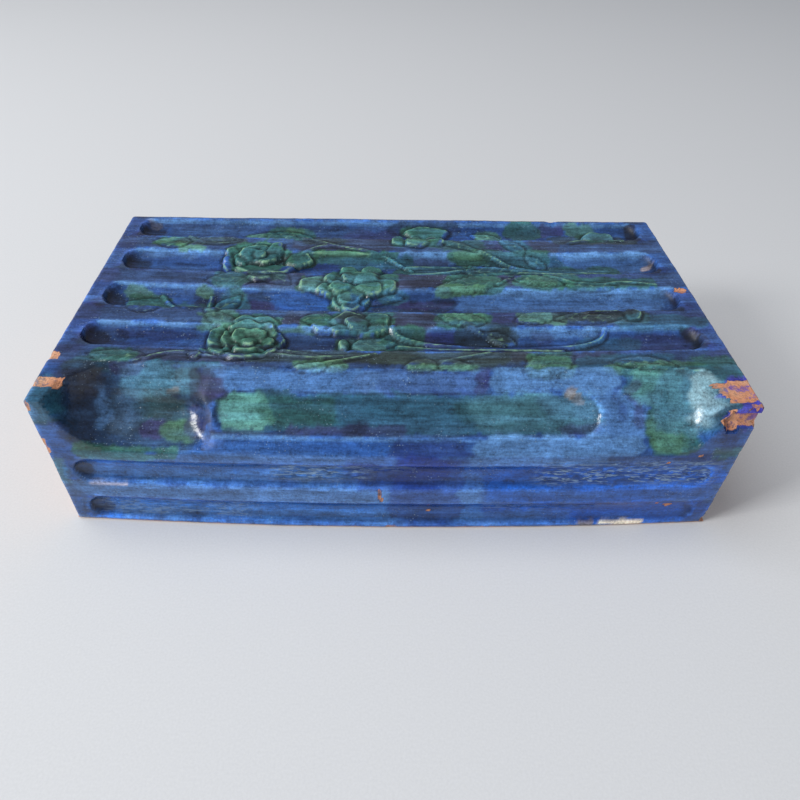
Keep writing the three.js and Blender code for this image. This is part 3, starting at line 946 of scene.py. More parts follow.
def wide_strokes() -> list[Stroke]:
    """The glaze strokes of the wide face, in seen places, in the order they were brushed, with painted shade
    in the near half of each flute, painted shadow lines along the flutes' near edges and painted highlights
    along their far edges.
    """
    slate, violet, deep, light = Tint.SLATE, Tint.VIOLET, Tint.DEEP, Tint.LIGHT
    green, teal, leaf, olive = Tint.GREEN, Tint.TEAL, Tint.LEAF, Tint.OLIVE
    brown, ink_and_shade = Tint.BROWN, Tint.INK_AND_SHADE
    lands = [
        Stroke(-220, 220, low, high, slate, 0.8, 1.6)
        for low, high in ((36, 54), (80, 97), (125, 144), (172, 191), (219, 240))
    ]
    # Painted shade: a darker stroke over the near half of each flute, where its steep near wall shades the
    # floor.
    shaded = [Stroke(-203, 203, low, low + 9, deep, 0.6, 3.5) for low in (53, 95, 142, 190)]
    # Painted shadow: a dark hairline along each flute's near edge.
    crease_shade = [Stroke(-200, 197, low - 1.2, low + 1.1, ink_and_shade, 0.85, 0.8) for low in (55.5, 97.5, 144.5, 192.5)]
    # Painted highlight, together with thin glaze on the edge: a light line along each flute's far edge.
    lit = [Stroke(-196, 196, high - 3.2, high + 0.8, light, 0.7, 1.5) for high in (79, 125, 172, 217)]
    ends = [
        Stroke(side - 9, side + 9, low, low + 17, ink_and_shade, 0.75, 3.0)
        for side, low in ((-193, 54), (-193, 96), (-190, 143), (-190, 191))
    ]
    ends += [Stroke(190.5, 198.5, low, low + 20, ink_and_shade, 0.9, 2.0) for low in (57, 194)]
    grounds = [
        (-225, 225, -30, 34, Tint.COBALT, 0.6, 3.0), (-180, -124, 64, 73, deep, 0.7, 2.5),
        (-198, -170, 55, 72, ink_and_shade, 0.5, 4.0), (-225, -195, 30, 230, violet, 0.35, 6.0),
        (-140, -84, 97, 120, ink_and_shade, 0.7, 2.0), (-100, -80, 97, 110, violet, 0.6, 2.0),
        (-82, -43, 98, 123, Tint.BLUE, 0.55, 2.0), (-84, -66, 123, 141, light, 0.3, 3.0),
        (45, 192, 100, 126, light, 0.35, 4.0), (68, 190, 116, 126, light, 0.5, 3.0),
        (-12, 45, 101, 115, ink_and_shade, 0.7, 1.6), (4, 42, 104, 112, violet, 0.6, 1.6),
        (-12, 28, 114, 125, Tint.COBALT, 0.7, 2.5), (-68, -34, 151, 161, deep, 0.8, 2.0),
        (8, 48, 160, 175, light, 0.7, 2.5), (12, 42, 158, 166, violet, 0.55, 2.0),
        (128, 192, 148, 173, light, 0.3, 4.0), (130, 190, 166, 174, light, 0.45, 2.5),
        (-185, -130, 164, 174, light, 0.4, 3.0), (-180, 20, 196, 214, slate, 0.5, 4.0),
        (-40, 8, 196, 208, violet, 0.5, 3.0), (2, 56, 200, 218, ink_and_shade, 0.6, 2.5),
        (118, 142, 203, 217, violet, 0.75, 2.5), (-75, 4, 174, 194, brown, 0.65, 3.0),
        (-100, -56, 182, 191, light, 0.25, 3.0), (38, 90, 176, 192, violet, 0.45, 3.0),
        (56, 80, 182, 192, light, 0.3, 3.0), (106, 130, 174, 192, brown, 0.6, 2.5),
        (-6, 46, 125, 143, brown, 0.75, 2.5), (62, 88, 127, 144, brown, 0.6, 2.0),
        (-8, 30, 80, 97, brown, 0.75, 2.5), (60, 92, 80, 90, ink_and_shade, 0.5, 2.5),
        (64, 90, 84, 97, violet, 0.45, 2.5), (-74, -44, 80, 97, brown, 0.7, 2.5),
        (-110, -60, 123, 143, brown, 0.6, 3.0), (-75, -30, 56, 73, ink_and_shade, 0.5, 3.0),
        (14, 62, 60, 75, violet, 0.75, 2.0), (14, 50, 62, 67, ink_and_shade, 0.5, 2.0),
        (28, 62, 64, 80, deep, 0.6, 2.5), (66, 136, 70, 80, light, 0.55, 2.0),
        (90, 104, 66, 78, violet, 0.4, 2.0), (148, 190, 56, 72, violet, 0.55, 3.0),
        (-160, -90, 40, 52, brown, 0.6, 2.5), (-90, 86, 41, 54, olive, 0.85, 2.5),
        (60, 140, 42, 54, brown, 0.5, 3.0), (-110, 30, 190, 196, brown, 0.35, 2.0),
        (196, 220, 34, 120, violet, 0.35, 4.0), (129, 136, 92, 99, Tint.TAN, 0.75, 1.2),
        (-196, -186, 204, 217, Tint.TAN, 0.4, 2.0), (188, 196, 151, 158, Tint.PEACH, 0.6, 1.2),
    ]
    left = [
        (-183, -150, 176, 192, green, 0.8, 1.8), (-182, -168, 178, 192, leaf, 0.5, 2.0),
        (-162, -110, 180, 192, olive, 0.75, 2.0), (-160, -143, 171, 180, leaf, 0.65, 1.8),
        (-185, -170, 110, 124, leaf, 0.6, 1.8), (-185, -154, 96, 115, green, 0.85, 1.8),
        (-166, -120, 96, 106, green, 0.6, 2.0), (-137, -127, 112, 124, leaf, 0.7, 1.6),
        (-124, -100, 97, 124, teal, 0.7, 2.0), (-118, -102, 110, 124, green, 0.6, 2.0),
        (-187, -157, 38, 51, green, 0.7, 2.0), (-198, -158, 27, 41, green, 0.45, 2.5),
        (-150, -104, 34, 40, teal, 0.75, 1.6), (-128, -114, 73, 79, leaf, 0.65, 1.6),
        (-120, -73, 48, 80, green, 0.9, 1.8), (-116, -76, 55, 78, leaf, 0.3, 3.0),
        (-128, -102, 78, 97, leaf, 0.55, 1.8), (-106, -72, 77, 91, green, 0.85, 1.8),
        (-80, -52, 72, 80, leaf, 0.7, 1.8), (-60, -38, 74, 80, light, 0.8, 1.6),
        (-36, -2, 55, 70, leaf, 0.6, 1.8), (-130, -103, 123, 144, green, 0.6, 2.0),
        (-104, -76, 132, 144, green, 0.45, 2.5), (-126, -76, 144, 184, green, 0.9, 1.8),
        (-114, -80, 156, 178, teal, 0.45, 3.0), (-80, -56, 154, 173, green, 0.85, 1.8),
        (-60, 4, 160, 176, green, 0.8, 1.8), (-58, -14, 168, 174, leaf, 0.6, 1.6),
        (-38, 18, 152, 166, teal, 0.8, 2.0), (-66, -37, 120, 140, leaf, 0.65, 1.8),
        (-48, 2, 120, 153, green, 0.9, 1.8), (-42, -13, 98, 126, teal, 0.7, 1.8),
        (-42, -30, 100, 122, leaf, 0.45, 1.6), (-30, 4, 116, 128, leaf, 0.4, 2.0),
        (-8, 12, 108, 124, teal, 0.6, 2.0), (-60, -40, 80, 94, green, 0.85, 1.8),
        (-42, 4, 72, 97, green, 0.8, 1.8), (-36, -18, 84, 97, brown, 0.6, 2.0),
        (-62, -28, 33, 44, leaf, 0.75, 1.8), (-40, -8, 42, 54, olive, 0.5, 2.0),
        (-116, -97, 193, 203, leaf, 0.7, 1.8), (-100, -62, 190, 210, green, 0.75, 1.8),
        (-66, -36, 184, 198, olive, 0.7, 2.0), (-84, -72, 202, 211, leaf, 0.5, 2.0),
    ]
    right = [
        (0, 38, 183, 197, green, 0.9, 1.8), (12, 34, 186, 196, leaf, 0.4, 2.5),
        (12, 46, 197, 212, green, 0.85, 1.8), (36, 70, 176, 192, green, 0.6, 2.0),
        (66, 90, 195, 208, leaf, 0.7, 1.8), (94, 120, 196, 222, green, 0.75, 2.0),
        (143, 164, 202, 218, leaf, 0.6, 2.0), (126, 190, 186, 203, olive, 0.75, 2.0),
        (150, 180, 190, 204, green, 0.5, 2.0), (84, 106, 172, 196, teal, 0.75, 1.8),
        (0, 16, 153, 170, teal, 0.8, 2.0), (46, 74, 159, 177, leaf, 0.5, 2.0),
        (46, 120, 158, 177, green, 0.75, 2.0), (50, 70, 166, 176, leaf, 0.5, 2.0),
        (100, 130, 152, 170, teal, 0.6, 2.5), (0, 168, 144, 156, green, 0.75, 1.6),
        (80, 160, 144, 149, ink_and_shade, 0.5, 1.6), (20, 100, 149, 160, Tint.DARK_TEAL, 0.4, 2.0),
        (40, 82, 120, 144, green, 0.8, 1.8), (28, 66, 119, 130, leaf, 0.7, 1.6),
        (88, 132, 125, 144, green, 0.8, 1.8), (94, 118, 128, 142, leaf, 0.35, 2.0),
        (120, 188, 124, 138, green, 0.7, 2.0), (28, 64, 81, 98, green, 0.8, 1.8),
        (34, 60, 88, 98, leaf, 0.45, 1.8), (44, 78, 60, 84, Tint.DARK_TEAL, 0.8, 1.8),
        (62, 84, 63, 79, olive, 0.7, 1.8), (84, 116, 83, 99, leaf, 0.6, 1.8),
        (110, 172, 84, 99, olive, 0.85, 1.8), (150, 210, 77, 91, teal, 0.5, 2.5),
        (-8, 24, 56, 81, green, 0.8, 2.0), (10, 130, 55, 61, ink_and_shade, 0.5, 1.6),
        (120, 160, 55, 70, teal, 0.5, 2.5), (8, 50, 34, 41, leaf, 0.7, 1.8),
        (-14, 72, 42, 54, olive, 0.9, 2.0), (79, 112, 27, 50, leaf, 0.75, 1.8),
        (84, 112, 40, 54, green, 0.6, 2.0), (112, 172, 36, 50, teal, 0.5, 2.5),
        (132, 192, 30, 42, leaf, 0.6, 1.8), (180, 222, 24, 46, green, 0.7, 2.5),
    ]
    painted = [Stroke(*row) for row in (*grounds, *left, *right)]
    return lands + shaded + lit + ends + painted + crease_shade


def cant_strokes() -> list[Stroke]:
    """The strokes of the cant, with v as the distance up it from the return face."""
    violet, deep, light, cobalt = Tint.VIOLET, Tint.DEEP, Tint.LIGHT, Tint.COBALT
    green, teal, leaf, dark = Tint.GREEN, Tint.TEAL, Tint.LEAF, Tint.DARK_TEAL
    ink_and_shade, brown = Tint.INK_AND_SHADE, Tint.BROWN
    rows = [
        (-114, -10, 37, 53, light, 0.5, 2.5), (-22, 56, 38, 52, light, 0.4, 2.5),
        (-22, 59, 36, 53, violet, 0.28, 1.8), (50, 60, 36, 50, violet, 0.6, 1.8),
        (60, 135, 38, 54, light, 0.75, 2.5), (-104, 122, 12, 37, teal, 0.8, 1.8),
        (-106, -74, 13, 36, Tint.MINT, 0.8, 2.2), (-80, -34, 16, 34, green, 0.6, 4.0),
        (4, 56, 14, 34, dark, 0.22, 5.0), (48, 124, 14, 37, Tint.SEA, 0.75, 5.0),
        (40, 110, 18, 36, green, 0.3, 5.0), (90, 124, 22, 37, light, 0.25, 4.0),
        (-66, 6, 11, 18, violet, 0.7, 1.8), (-34, -16, 12, 22, ink_and_shade, 0.5, 2.5),
        (-110, -66, 8, 14, deep, 0.7, 1.8), (100, 124, 10, 20, violet, 0.6, 2.5),
        # The dark strokes at 10.8 to 13.0 and 36.2 to 38.2 are painted shadow lines along both edges of the
        # cant's flute; the light one at 8.2 to 10.6 is a painted highlight under its lower edge.
        (-120, -4, -6, 9, Tint.BLUE, 0.5, 3.0), (-108, 96, 10.8, 13.0, ink_and_shade, 0.7, 0.8),
        (-108, 96, 8.2, 10.6, light, 0.5, 0.9), (-100, 62, 36.2, 38.2, ink_and_shade, 0.65, 0.8),
        (-4, 48, -6, 10, deep, 0.75, 2.5), (52, 150, -4, 12, light, 0.75, 3.0),
        (124, 152, 6, 42, light, 0.5, 3.0), (133, 138, 20, 42, deep, 0.5, 2.0),
        (148, 151, 26, 50, cobalt, 0.6, 1.6), (138, 198, 34, 56, teal, 0.7, 2.5),
        (142, 176, 30, 52, Tint.MINT, 0.55, 3.0), (151, 186, -2, 34, green, 0.8, 2.0),
        (152, 180, 2, 26, leaf, 0.6, 3.0), (156, 176, 6, 26, Tint.MINT, 0.35, 3.0),
        # The pale stroke from 181 to 193 is a painted highlight over milky glaze on the right scoop's wall.
        (156, 198, 12, 52, Tint.SEA, 0.8, 4.0), (181, 193, 18, 50, Tint.MILK_AND_HIGHLIGHT, 0.45, 4.0),
        (194, 204, 0, 30, deep, 0.6, 3.0), (190, 214, 20, 30, dark, 0.9, 2.0),
        (-198, -110, 0, 54, dark, 0.7, 3.0), (-176, -126, 8, 40, Tint.OLIVE, 0.5, 6.0),
        (-168, -118, 33, 53, Tint.SEA, 0.75, 3.5), (-160, -124, 18, 34, green, 0.25, 5.0),
        # In the left scoop, the dark stroke from -198 to -178 is painted shade in its deep left end, and the
        # light strokes from -182 to -175 and from -170 to -154 are painted reflections.
        (-198, -178, 4, 50, ink_and_shade, 0.5, 3.0), (-182, -175, 12, 40, light, 0.55, 2.5),
        (-170, -154, 10, 44, light, 0.25, 9.0), (106, 111, 35, 41, Tint.TAN, 0.7, 1.0),
        (110, 116, 31, 37, Tint.TAN, 0.55, 1.0), (-138, -129, 35, 39, Tint.TAN, 0.6, 1.2),
        (-154, -138, 6, 20, violet, 0.75, 2.5), (-140, -120, 6, 18, leaf, 0.6, 2.2),
        # The dark stroke from -124 to -104 is a painted shadow on the upper part of the left scoop's lip.
        (-126, -110, 10, 30, violet, 0.6, 2.0), (-124, -104, 28, 50, ink_and_shade, 0.7, 2.0),
        (-118, -102, 34, 46, violet, 0.6, 2.0), (-190, -128, -6, 3, green, 0.85, 1.6),
        (-214, -194, 14, 44, teal, 0.8, 2.5), (-214, -204, 18, 34, light, 0.4, 2.5),
        (-172, -152, 44, 56, violet, 0.6, 2.5), (-200, -176, 30, 56, brown, 0.4, 3.0),
        (141, 148, 16, 45, violet, 0.55, 2.0), (195, 222, 16, 46, Tint.SMEAR, 0.8, 2.0),
    ]
    return [Stroke(*row) for row in rows]


def turned_strokes() -> list[Stroke]:
    """The strokes of the return face, with v as the height above the floor."""
    deep, light, slate = Tint.DEEP, Tint.LIGHT, Tint.SLATE
    green, leaf, ink_and_shade, cobalt = Tint.GREEN, Tint.LEAF, Tint.INK_AND_SHADE, Tint.COBALT
    rows = [
        (-206, 206, 3, 24, Tint.ROYAL, 0.85, 2.5), (-206, 206, 39, 60, Tint.ROYAL, 0.75, 2.5),
        (-206, 60, 5, 20, Tint.AZURE, 0.5, 3.0), (-206, -20, 42, 56, Tint.AZURE, 0.4, 3.0),
        (-220, 60, 24, 39, light, 0.45, 3.0), (60, 206, 24, 39, Tint.ROYAL, 0.35, 3.0),
        # The dark lines at 57.5 to 60.2 and 21.5 to 24.2 are painted shadows under the top lip of each flute
        # of the return face.
        (-220, 220, -4, 3, light, 0.3, 2.0), (-205, 205, 57.5, 60.2, ink_and_shade, 0.6, 0.9),
        (-205, 205, 21.5, 24.2, deep, 0.6, 0.9), (-200, 60, 39, 50, light, 0.35, 3.0),
        (-180, 120, 3, 14, light, 0.35, 3.0), (0, 44, 0, 68, Tint.NAVY, 0.6, 2.5),
        (-28, 36, 38, 68, Tint.NAVY, 0.6, 3.0), (100, 205, 4, 24, Tint.NAVY, 0.3, 4.0),
        (-160, 0, 60, 69, light, 0.3, 3.0), (45, 140, 60, 69, light, 0.4, 3.0),
        (130, 200, 60, 69, deep, 0.6, 3.0), (192, 216, 64, 78, green, 0.75, 2.0),
        (-192, -128, 60, 69, green, 0.75, 1.8), (-216, -202, 36, 62, leaf, 0.4, 3.0),
        # The dark strokes from -204 to -190 and from -202 to -182 are painted shade in the left ends of the
        # return face's flutes.
        (-216, -200, -4, 36, slate, 0.6, 4.0), (-204, -190, 40, 60, ink_and_shade, 0.7, 2.2),
        (-202, -182, 4, 23, ink_and_shade, 0.7, 2.2), (190, 205, 4, 22, ink_and_shade, 0.45, 2.5),
        # The peach streak from -192 to -166 is a painted highlight.
        (-40, 60, -3, 5, cobalt, 0.4, 2.0), (-192, -166, 36.2, 38.6, Tint.PEACH, 0.5, 1.4),
        (138, 158, 2.0, 5.8, Tint.CREAM, 0.95, 0.8), (150, 168, 0.8, 4.4, Tint.CREAM, 0.95, 0.8),
        (122, 134, 0.8, 5.0, Tint.TAN, 0.8, 1.0),
    ]
    return [Stroke(*row) for row in rows]


def flecks() -> list[Fleck]:
    """The spots of bare or clinging clay, on the wide face in seen places."""
    wide, turned = Face.WIDE, Face.TURNED
    return [
        Fleck(wide, 202, 121, 4.2, 3.6, 1.0), Fleck(wide, 131, 222.5, 5, 2.6, 1.0),
        Fleck(wide, -208, 41, 2.8, 4.5, 0.8), Fleck(wide, -206, 32, 2.0, 2.0, 0.5),
        Fleck(turned, -7, 33, 1.4, 4.6, 0.8), Fleck(turned, -5.5, 28, 0.9, 2.4, 0.8),
        Fleck(turned, 0.5, 1.6, 3.0, 1.6, 0.8), Fleck(turned, 25, 13, 2.0, 0.9, 0.4),
        Fleck(turned, 180, 19, 3.2, 1.6, 0.5), Fleck(turned, 172, 21, 1.2, 0.7, 0.3),
        Fleck(turned, 186, 68, 1.5, 2.0, 0.5), Fleck(turned, 168, 61, 1.4, 1.5, 0.5),
        Fleck(turned, -209.8, 70, 1.1, 26.0, 0.6), Fleck(turned, 211, 38, 2.0, 26.0, 0.7),
    ]


def breaks() -> list[Break]:
    """The lost corners and edges, measured from where the square tile's arris would be in its middle."""
    return [
        Break(
            ((-213, 13.2), (-198.5, 13.1), (-189.1, 15.9), (-187.8, 24), (-213, 20.9)),
            True, -1.8, (0.03, 0.1), 1.2,
        ),
        Break(((-198.5, 13.5), (-192.9, 8.8), (-188.5, 15.9), (-196, 20)), True, -3.4, (0.0, 0.1), 1.0),
        Break(((-213, 36), (-203, 37), (-203, 44), (-213, 48)), True, -0.8, (0.03, 0.0), 0.8),
        Break(((186.5, 2.8), (208.6, 5.6), (216, 7), (216, 24.5), (185.5, 22)), True, -2.3, (0.0, 0.03), 0.3),
        Break(((202, -16.5), (219, -16.5), (219, -5.2), (202, -5.2)), False, 4.2, (0.0, 0.0), 0.2),
        Break(
            ((192.5, -11), (198, -21.6), (203.5, -20), (203.5, -5), (193, -4.5)),
            False, 4.4, (0.0, 0.0), 2.2,
        ),
        Break(((210, -108), (219, -108), (219, -76), (214, -76)), False, 3.4, (0.4, 0.0), 0.9),
        Break(((-214, -9), (-208, -9), (-205, 1), (-214, 1)), False, 2.4, (-0.2, 0.0), 0.8),
        Break(((-214, -43), (-207.5, -42), (-206.5, -31), (-214, -28)), False, 2.6, (-0.2, 0.0), 0.9),
        Break(((205.5, -2), (216, -2), (216, 5), (208, 5)), False, 2.6, (0.0, 0.0), 0.6),
    ]


@dataclass(frozen=True)
class Mesh:
    """What a surface is made of before it becomes a Blender mesh."""

    spots: Array
    quads: Array
    caps: list[Array]
    tint: Array
    clay: Array
    thin: Array
    grit: Array
    dull: Array


@dataclass
class Tile:
    """The whole tile as one closed skin: fronts with their relief, ends, and the hollow back."""

    form: TileForm
    step_along: float = 1.15
    step_across: dict[Face, float] = field(
        default_factory=lambda: {Face.TURNED: 2.0, Face.CANT: 1.5, Face.WIDE: 1.15}
    )

    DRAFT = 0.8
    SOFT_RIM = 1.6
    SHARP_DEGREES = 52
    SPRAYS_FROM = (14.0, 26.0)
    WORN_END = 0.4
    WORN_RIM = 0.9
    WORN_FOOT = 0.42

    def columns(self) -> Array:
        """Places along the tile, closer together in the rounded ends."""
        half = self.form.half_long
        inner = half - self.form.end_round
        count = round(2 * inner / self.step_along)
        rounded = self.form.end_round * np.array([0.0, 0.1, 0.35, 0.68])
        middle = np.linspace(-inner, inner, count + 1)
        return np.concatenate([-half + rounded, middle, (half - rounded)[::-1]])

    def end_inset(self, x: Array) -> Array:
        """How far the fronts fall back in the rounded ends, as a quarter circle."""
        r = self.form.end_round
        short = np.clip(r - (self.form.half_long - np.abs(x)), 0.0, r)
        return r - np.sqrt(r * r - short * short)

    def back_rows(self) -> tuple[Array, Array, Array, Array]:
        """The back's rows from the far rim to the foot.

        Returns:
            Depth y, height in the middle where the back is hollow, height over the end walls, and height
            outside the rump.
        """
        form = self.form
        roof = form.high - form.plate
        slope = form.cant + form.cant_plate / HALF_ROOT - form.plate
        outer = form.deep - form.rump_in_at_back
        inner = outer - form.rump_wall
        draft = self.DRAFT
        # The wide plate's underside beyond the rump, and the rump's outer wall.
        rows = [(form.deep - form.back_round, roof, roof, roof), (outer, roof, roof, roof)]
        for share in (0.33, 0.66, 0.97):
            height = roof * (1 - share)
            rows.append((outer - draft * share, height, height, roof))
        # The rim that the tile lies on, and the hollow's far wall.
        rows += [(outer - self.SOFT_RIM, 0, 0, roof), (inner + self.SOFT_RIM, 0, 0, roof)]
        for share in (0.03, 0.33, 0.66, 1.0):
            rows.append((inner - draft * share, roof * share, 0, roof))
        # The hollow's roof, and its slope behind the cant.
        for share in np.linspace(0, 1, 7)[1:-1]:
            rows.append((inner - draft + (slope - inner + draft) * share, roof, 0, roof))
        for share in np.linspace(0, 1, 4):
            y = slope + (form.plate + draft - slope) * share
            rows.append((y, roof - (roof - (form.high - slope)) * share, 0, roof))
        # The inside of the return's plate, and its foot.
        rows += [(form.plate + draft / 2, 25, 0, 46), (form.plate, 1.2, 0, 1.2), (form.plate - 1.2, 0, 0, 0)]
        low = 0.35 * form.foot_round
        rows += [(form.foot_round + 0.4, 0, 0, 0), (low, low, low, low)]
        return tuple(np.array(rows, dtype=float).T)

    def back_spots(self, x: Array) -> Array:
        """The hollow back as heights over x and its rows, uneven as clay pressed in by hand."""
        form = self.form
        y, hollow, wall, outside = self.back_rows()
        end_wall = form.half_long - form.rump_in_at_ends
        hollow_end = end_wall - form.rump_wall
        from_middle = np.abs(x)[:, None]
        in_hollow = from_middle < hollow_end
        beyond = from_middle > end_wall
        z = np.where(in_hollow, hollow[None, :], np.where(beyond, outside[None, :], wall[None, :]))
        grid_x = np.broadcast_to(x[:, None], z.shape)
        grid_y = np.broadcast_to(y[None, :], z.shape)
        press = 0.9 * mottle(grid_x, grid_y, 22, 18, 51) + 0.5 * mottle(grid_x, grid_y, 7, 9, 52)
        z = z + press * smooth_step(4.0, 20.0, z) * (z < form.high - form.plate + 1)
        return np.stack([grid_x, grid_y, z], axis=-1)

    def front(self, x: Array, line: OutsideLine) -> dict[str, Array]:
        """The fronts: places, colours and masks for every column and row.

        Args:
            x: the columns.
            line: the rows.

        Returns:
            Arrays by name: spots, tint, clay, thin, grit and dull.
        """
        form = self.form
        flutes = Flutes(form)
        across, flat = np.meshgrid(x, line.s, indexing="ij")
        up = np.broadcast_to(line.up_cant[None, :], across.shape)
        height = np.broadcast_to(line.height_on_turned[None, :], across.shape)
        on_turned, on_cant = line.on(Face.TURNED), line.on(Face.CANT)
        relief = Relief(x, line.over_wide, flutes.on_wide())
        for moulded in sprays():
            moulded.raise_on(relief)
        spray_reach = smooth_step(*self.SPRAYS_FROM, line.over_wide)[None, :]
        rise = relief.ground + 0.5 * (relief.moulded + softened(relief.moulded)) * spray_reach
        scoop = Scoops(form).rise(across, up) * on_cant[None, :]
        rise = rise * (line.over_wide[None, :] > 0) + scoop
        rise -= flutes.on_cant().depth(across, up) * on_cant[None, :]
        for flute in flutes.on_turned():
            rise -= flute.depth(across, height) * on_turned[None, :]
        clay = np.zeros_like(across)
        drop = np.zeros_like(across)
        places = {Face.WIDE: relief.seen, Face.CANT: up, Face.TURNED: height}
        for fleck in flecks():
            span = run_of(line.on(fleck.face))
            fleck.mark(across[:, span], places[fleck.face][:, span], clay[:, span], drop[:, span])
        grit = self.grit(across, line)
        rise -= drop
        rise += 0.22 * mottle(across, flat, 34, 9, 11)
        rise += 0.10 * mottle(across, flat, 6, 3, 12)
        rise += grit * 0.55 * mottle(across, flat, 3.2, 1.7, 13)
        scooped = smooth_step(0.5, 4.0, -scoop)
        rise += 0.3 * scooped * mottle(across, flat, 17, 11, 14)
        rise -= self.end_inset(across)
        y = line.y[None, :] + rise * line.ny[None, :]
        z = line.z[None, :] + rise * line.nz[None, :]
        spots = np.stack([across, y, z], axis=-1)
        tint = self.tints(across, line, places)
        tint = self.pooled(tint, rise - scoop, np.where(line.over_wide > 30, 0.22, 0.04))
        return {
            "spots": spots, "tint": tint, "clay": clay, "grit": grit,
            "thin": np.clip(relief.thin * spray_reach, 0.0, 1.0) * (line.over_wide[None, :] > 0),
            "dull": self.dull(across, line, relief, up),
        }

    def dull(self, across: Array, line: OutsideLine, relief: Relief, up: Array) -> Array:
        """How much duller the glaze is, 0 to 1: on sprays, by the left scoop's lip and at right ends."""
        on_sprays = 0.45 * smooth_step(0.15, 0.7, np.abs(relief.moulded)) * (line.over_wide[None, :] > 20)
        lip = Scoops.LIP_IN - self.form.half_long
        short_of = smooth_step(lip + 12, lip + 6, across)
        on_lip = smooth_step(lip - 5, lip - 1, across) * short_of
        high_up = smooth_step(28, 34, up) * smooth_step(lip - 26, lip - 14, across) * short_of
        at_ends = 0.6 * smooth_step(186, 190, across) * (line.over_wide[None, :] > 45)
        on_cant = line.on(Face.CANT)[None, :]
        return np.max([on_sprays, on_lip * on_cant, high_up * on_cant, at_ends], axis=0)

    def grit(self, across: Array, line: OutsideLine) -> Array:
        """Where the glaze of the return face has blistered, 0 to 1."""
        height = line.height_on_turned[None, :]
        zones = (
            (-75, -15, 44, 58, 1.0), (92, 198, 42, 62, 1.0), (-190, -90, 6, 22, 0.45),
            (60, 130, 16, 23, 0.5), (-15, 12, 52, 60, 0.6),
        )
        found = np.zeros_like(across)
        for low_x, high_x, low, high, weight in zones:
            zone = smooth_step(low_x - 8, low_x + 8, across) * smooth_step(high_x + 8, high_x - 8, across)
            zone *= smooth_step(low - 3, low + 3, height) * smooth_step(high + 3, high - 3, height)
            found = np.maximum(found, weight * zone)
        return found * line.on(Face.TURNED)[None, :]

    def tints(self, across: Array, line: OutsideLine, places: dict[Face, Array]) -> Array:
        """The glaze colour of every point, stroke upon stroke, with painted shade and highlights among the
        strokes.

        Args:
            across: places along the tile.
            line: the rows.
            places: for each face, the places across it.

        Returns:
            Linear colours, one for each point.
        """
        tints = np.empty(across.shape + (3,))
        tints[:] = Tint.COBALT.value
        flat = np.broadcast_to(line.s[None, :], across.shape)
        rough = 2.2 * mottle(across, flat, 11, 6, 21) + 1.5 * mottle(across, flat, 4, 3, 22)
        rough += 0.9 * mottle(across, flat, 1.8, 2.0, 25)
        warped = across + 3.5 * mottle(across, flat, 24, 8, 29)
        coats = (
            (Face.TURNED, turned_strokes(), line.s < line.turned_end + 4),
            (Face.WIDE, wide_strokes(), line.over_wide > 24),
            (Face.CANT, cant_strokes(), line.on(Face.CANT)),
        )
        for face, strokes, rows in coats:
            span = run_of(rows)
            for stroke in strokes:
                stroke.paint(tints[:, span], warped[:, span], places[face][:, span], rough[:, span])
        streak = mottle(across, flat, 40, 1.9, 23) + 0.6 * mottle(across, flat, 15, 1.4, 26)
        cloud = mottle(across, flat, 22, 9, 24) + 0.7 * mottle(across, flat, 7, 4, 27)
        paler = np.clip(0.5 * mottle(across, flat, 30, 6, 28) + 0.25 * streak, 0.0, 1.0)
        tints += 0.3 * paler[..., None] * (np.array(Tint.LIGHT.value) - tints)
        return np.clip(tints * np.exp(0.2 * streak + 0.22 * cloud)[..., None], 0.0, 1.0)

    def pooled(self, tints: Array, rise: Array, depth_share: Array) -> Array:
        """Darkens glaze that has gathered in hollows and lightens it where it ran off ridges.

        A point's hollow is how far it lies under the average of its surroundings, near and wide.

        Args:
            tints: glaze colours.
            rise: height of every point.
            depth_share: for each row, how much the deeper hollows count.

        Returns:
            New colours.
        """
        near = softened(rise, 3) - rise
        wide = softened(rise, 26) - rise
        shade = np.exp(-np.clip(1.7 * near + depth_share[None, :] * wide, -0.45, 1.4))
        return np.clip(tints * shade[..., None], 0.0, 1.0)

    def worn(self, x: Array, line: OutsideLine) -> Array:
        """Where the glaze ends or is rubbed off, 0 to 1: at both ends, the far rim and the foot."""
        half = self.form.half_long
        ends = self.WORN_END * smooth_step(half - 2.2, half - 0.6, np.abs(x))
        rim = self.WORN_RIM * smooth_step(line.s[-1] - 4.5, line.s[-1] - 1.0, line.s)
        foot = self.WORN_FOOT * smooth_step(1.6, 0.2, line.s)
        return np.maximum(ends[:, None], np.maximum(rim, foot)[None, :])

    def surface(self) -> Mesh:
        """The closed skin: each column is a loop over the fronts and back through the hollow.

        Neighbouring loops are joined by quads, and the first and last are closed by flat ends.
        """
        x = self.columns()
        line = OutsideLine(self.form, self.step_across)
        front = self.front(x, line)
        back = self.back_spots(x)
        rows = back.shape[1]
        loops = np.concatenate([front["spots"], back], axis=1)
        settled = self.form.settle(loops[..., 0], loops[..., 1], loops[..., 2])
        clay = np.concatenate([front["clay"], np.ones((len(x), rows))], axis=1)
        to_arris = np.array([self.form.splay / 2, self.form.middle_y, -self.form.high])
        from_arris = settled + to_arris
        fronts = from_arris[:, : len(line.s)]
        front_clay = clay[:, : len(line.s)]
        for lost in breaks():
            lost.cut(fronts, front_clay)
        np.maximum(front_clay, self.worn(x, line), out=front_clay)
        settled = from_arris - to_arris
        n_x, n_loop = loops.shape[:2]
        index = np.arange(n_x * n_loop).reshape(n_x, n_loop)
        following = np.roll(index, -1, axis=1)
        quads = np.stack([index[:-1], index[1:], following[1:], following[:-1]], axis=-1).reshape(-1, 4)

        def whole(name: str, fill: float | tuple[float, float, float]) -> Array:
            """A front array carried on over the back with one value."""
            shape = (n_x, rows) + front[name].shape[2:]
            rest = np.broadcast_to(np.array(fill, dtype=float), shape)
            return np.concatenate([front[name], rest], axis=1)

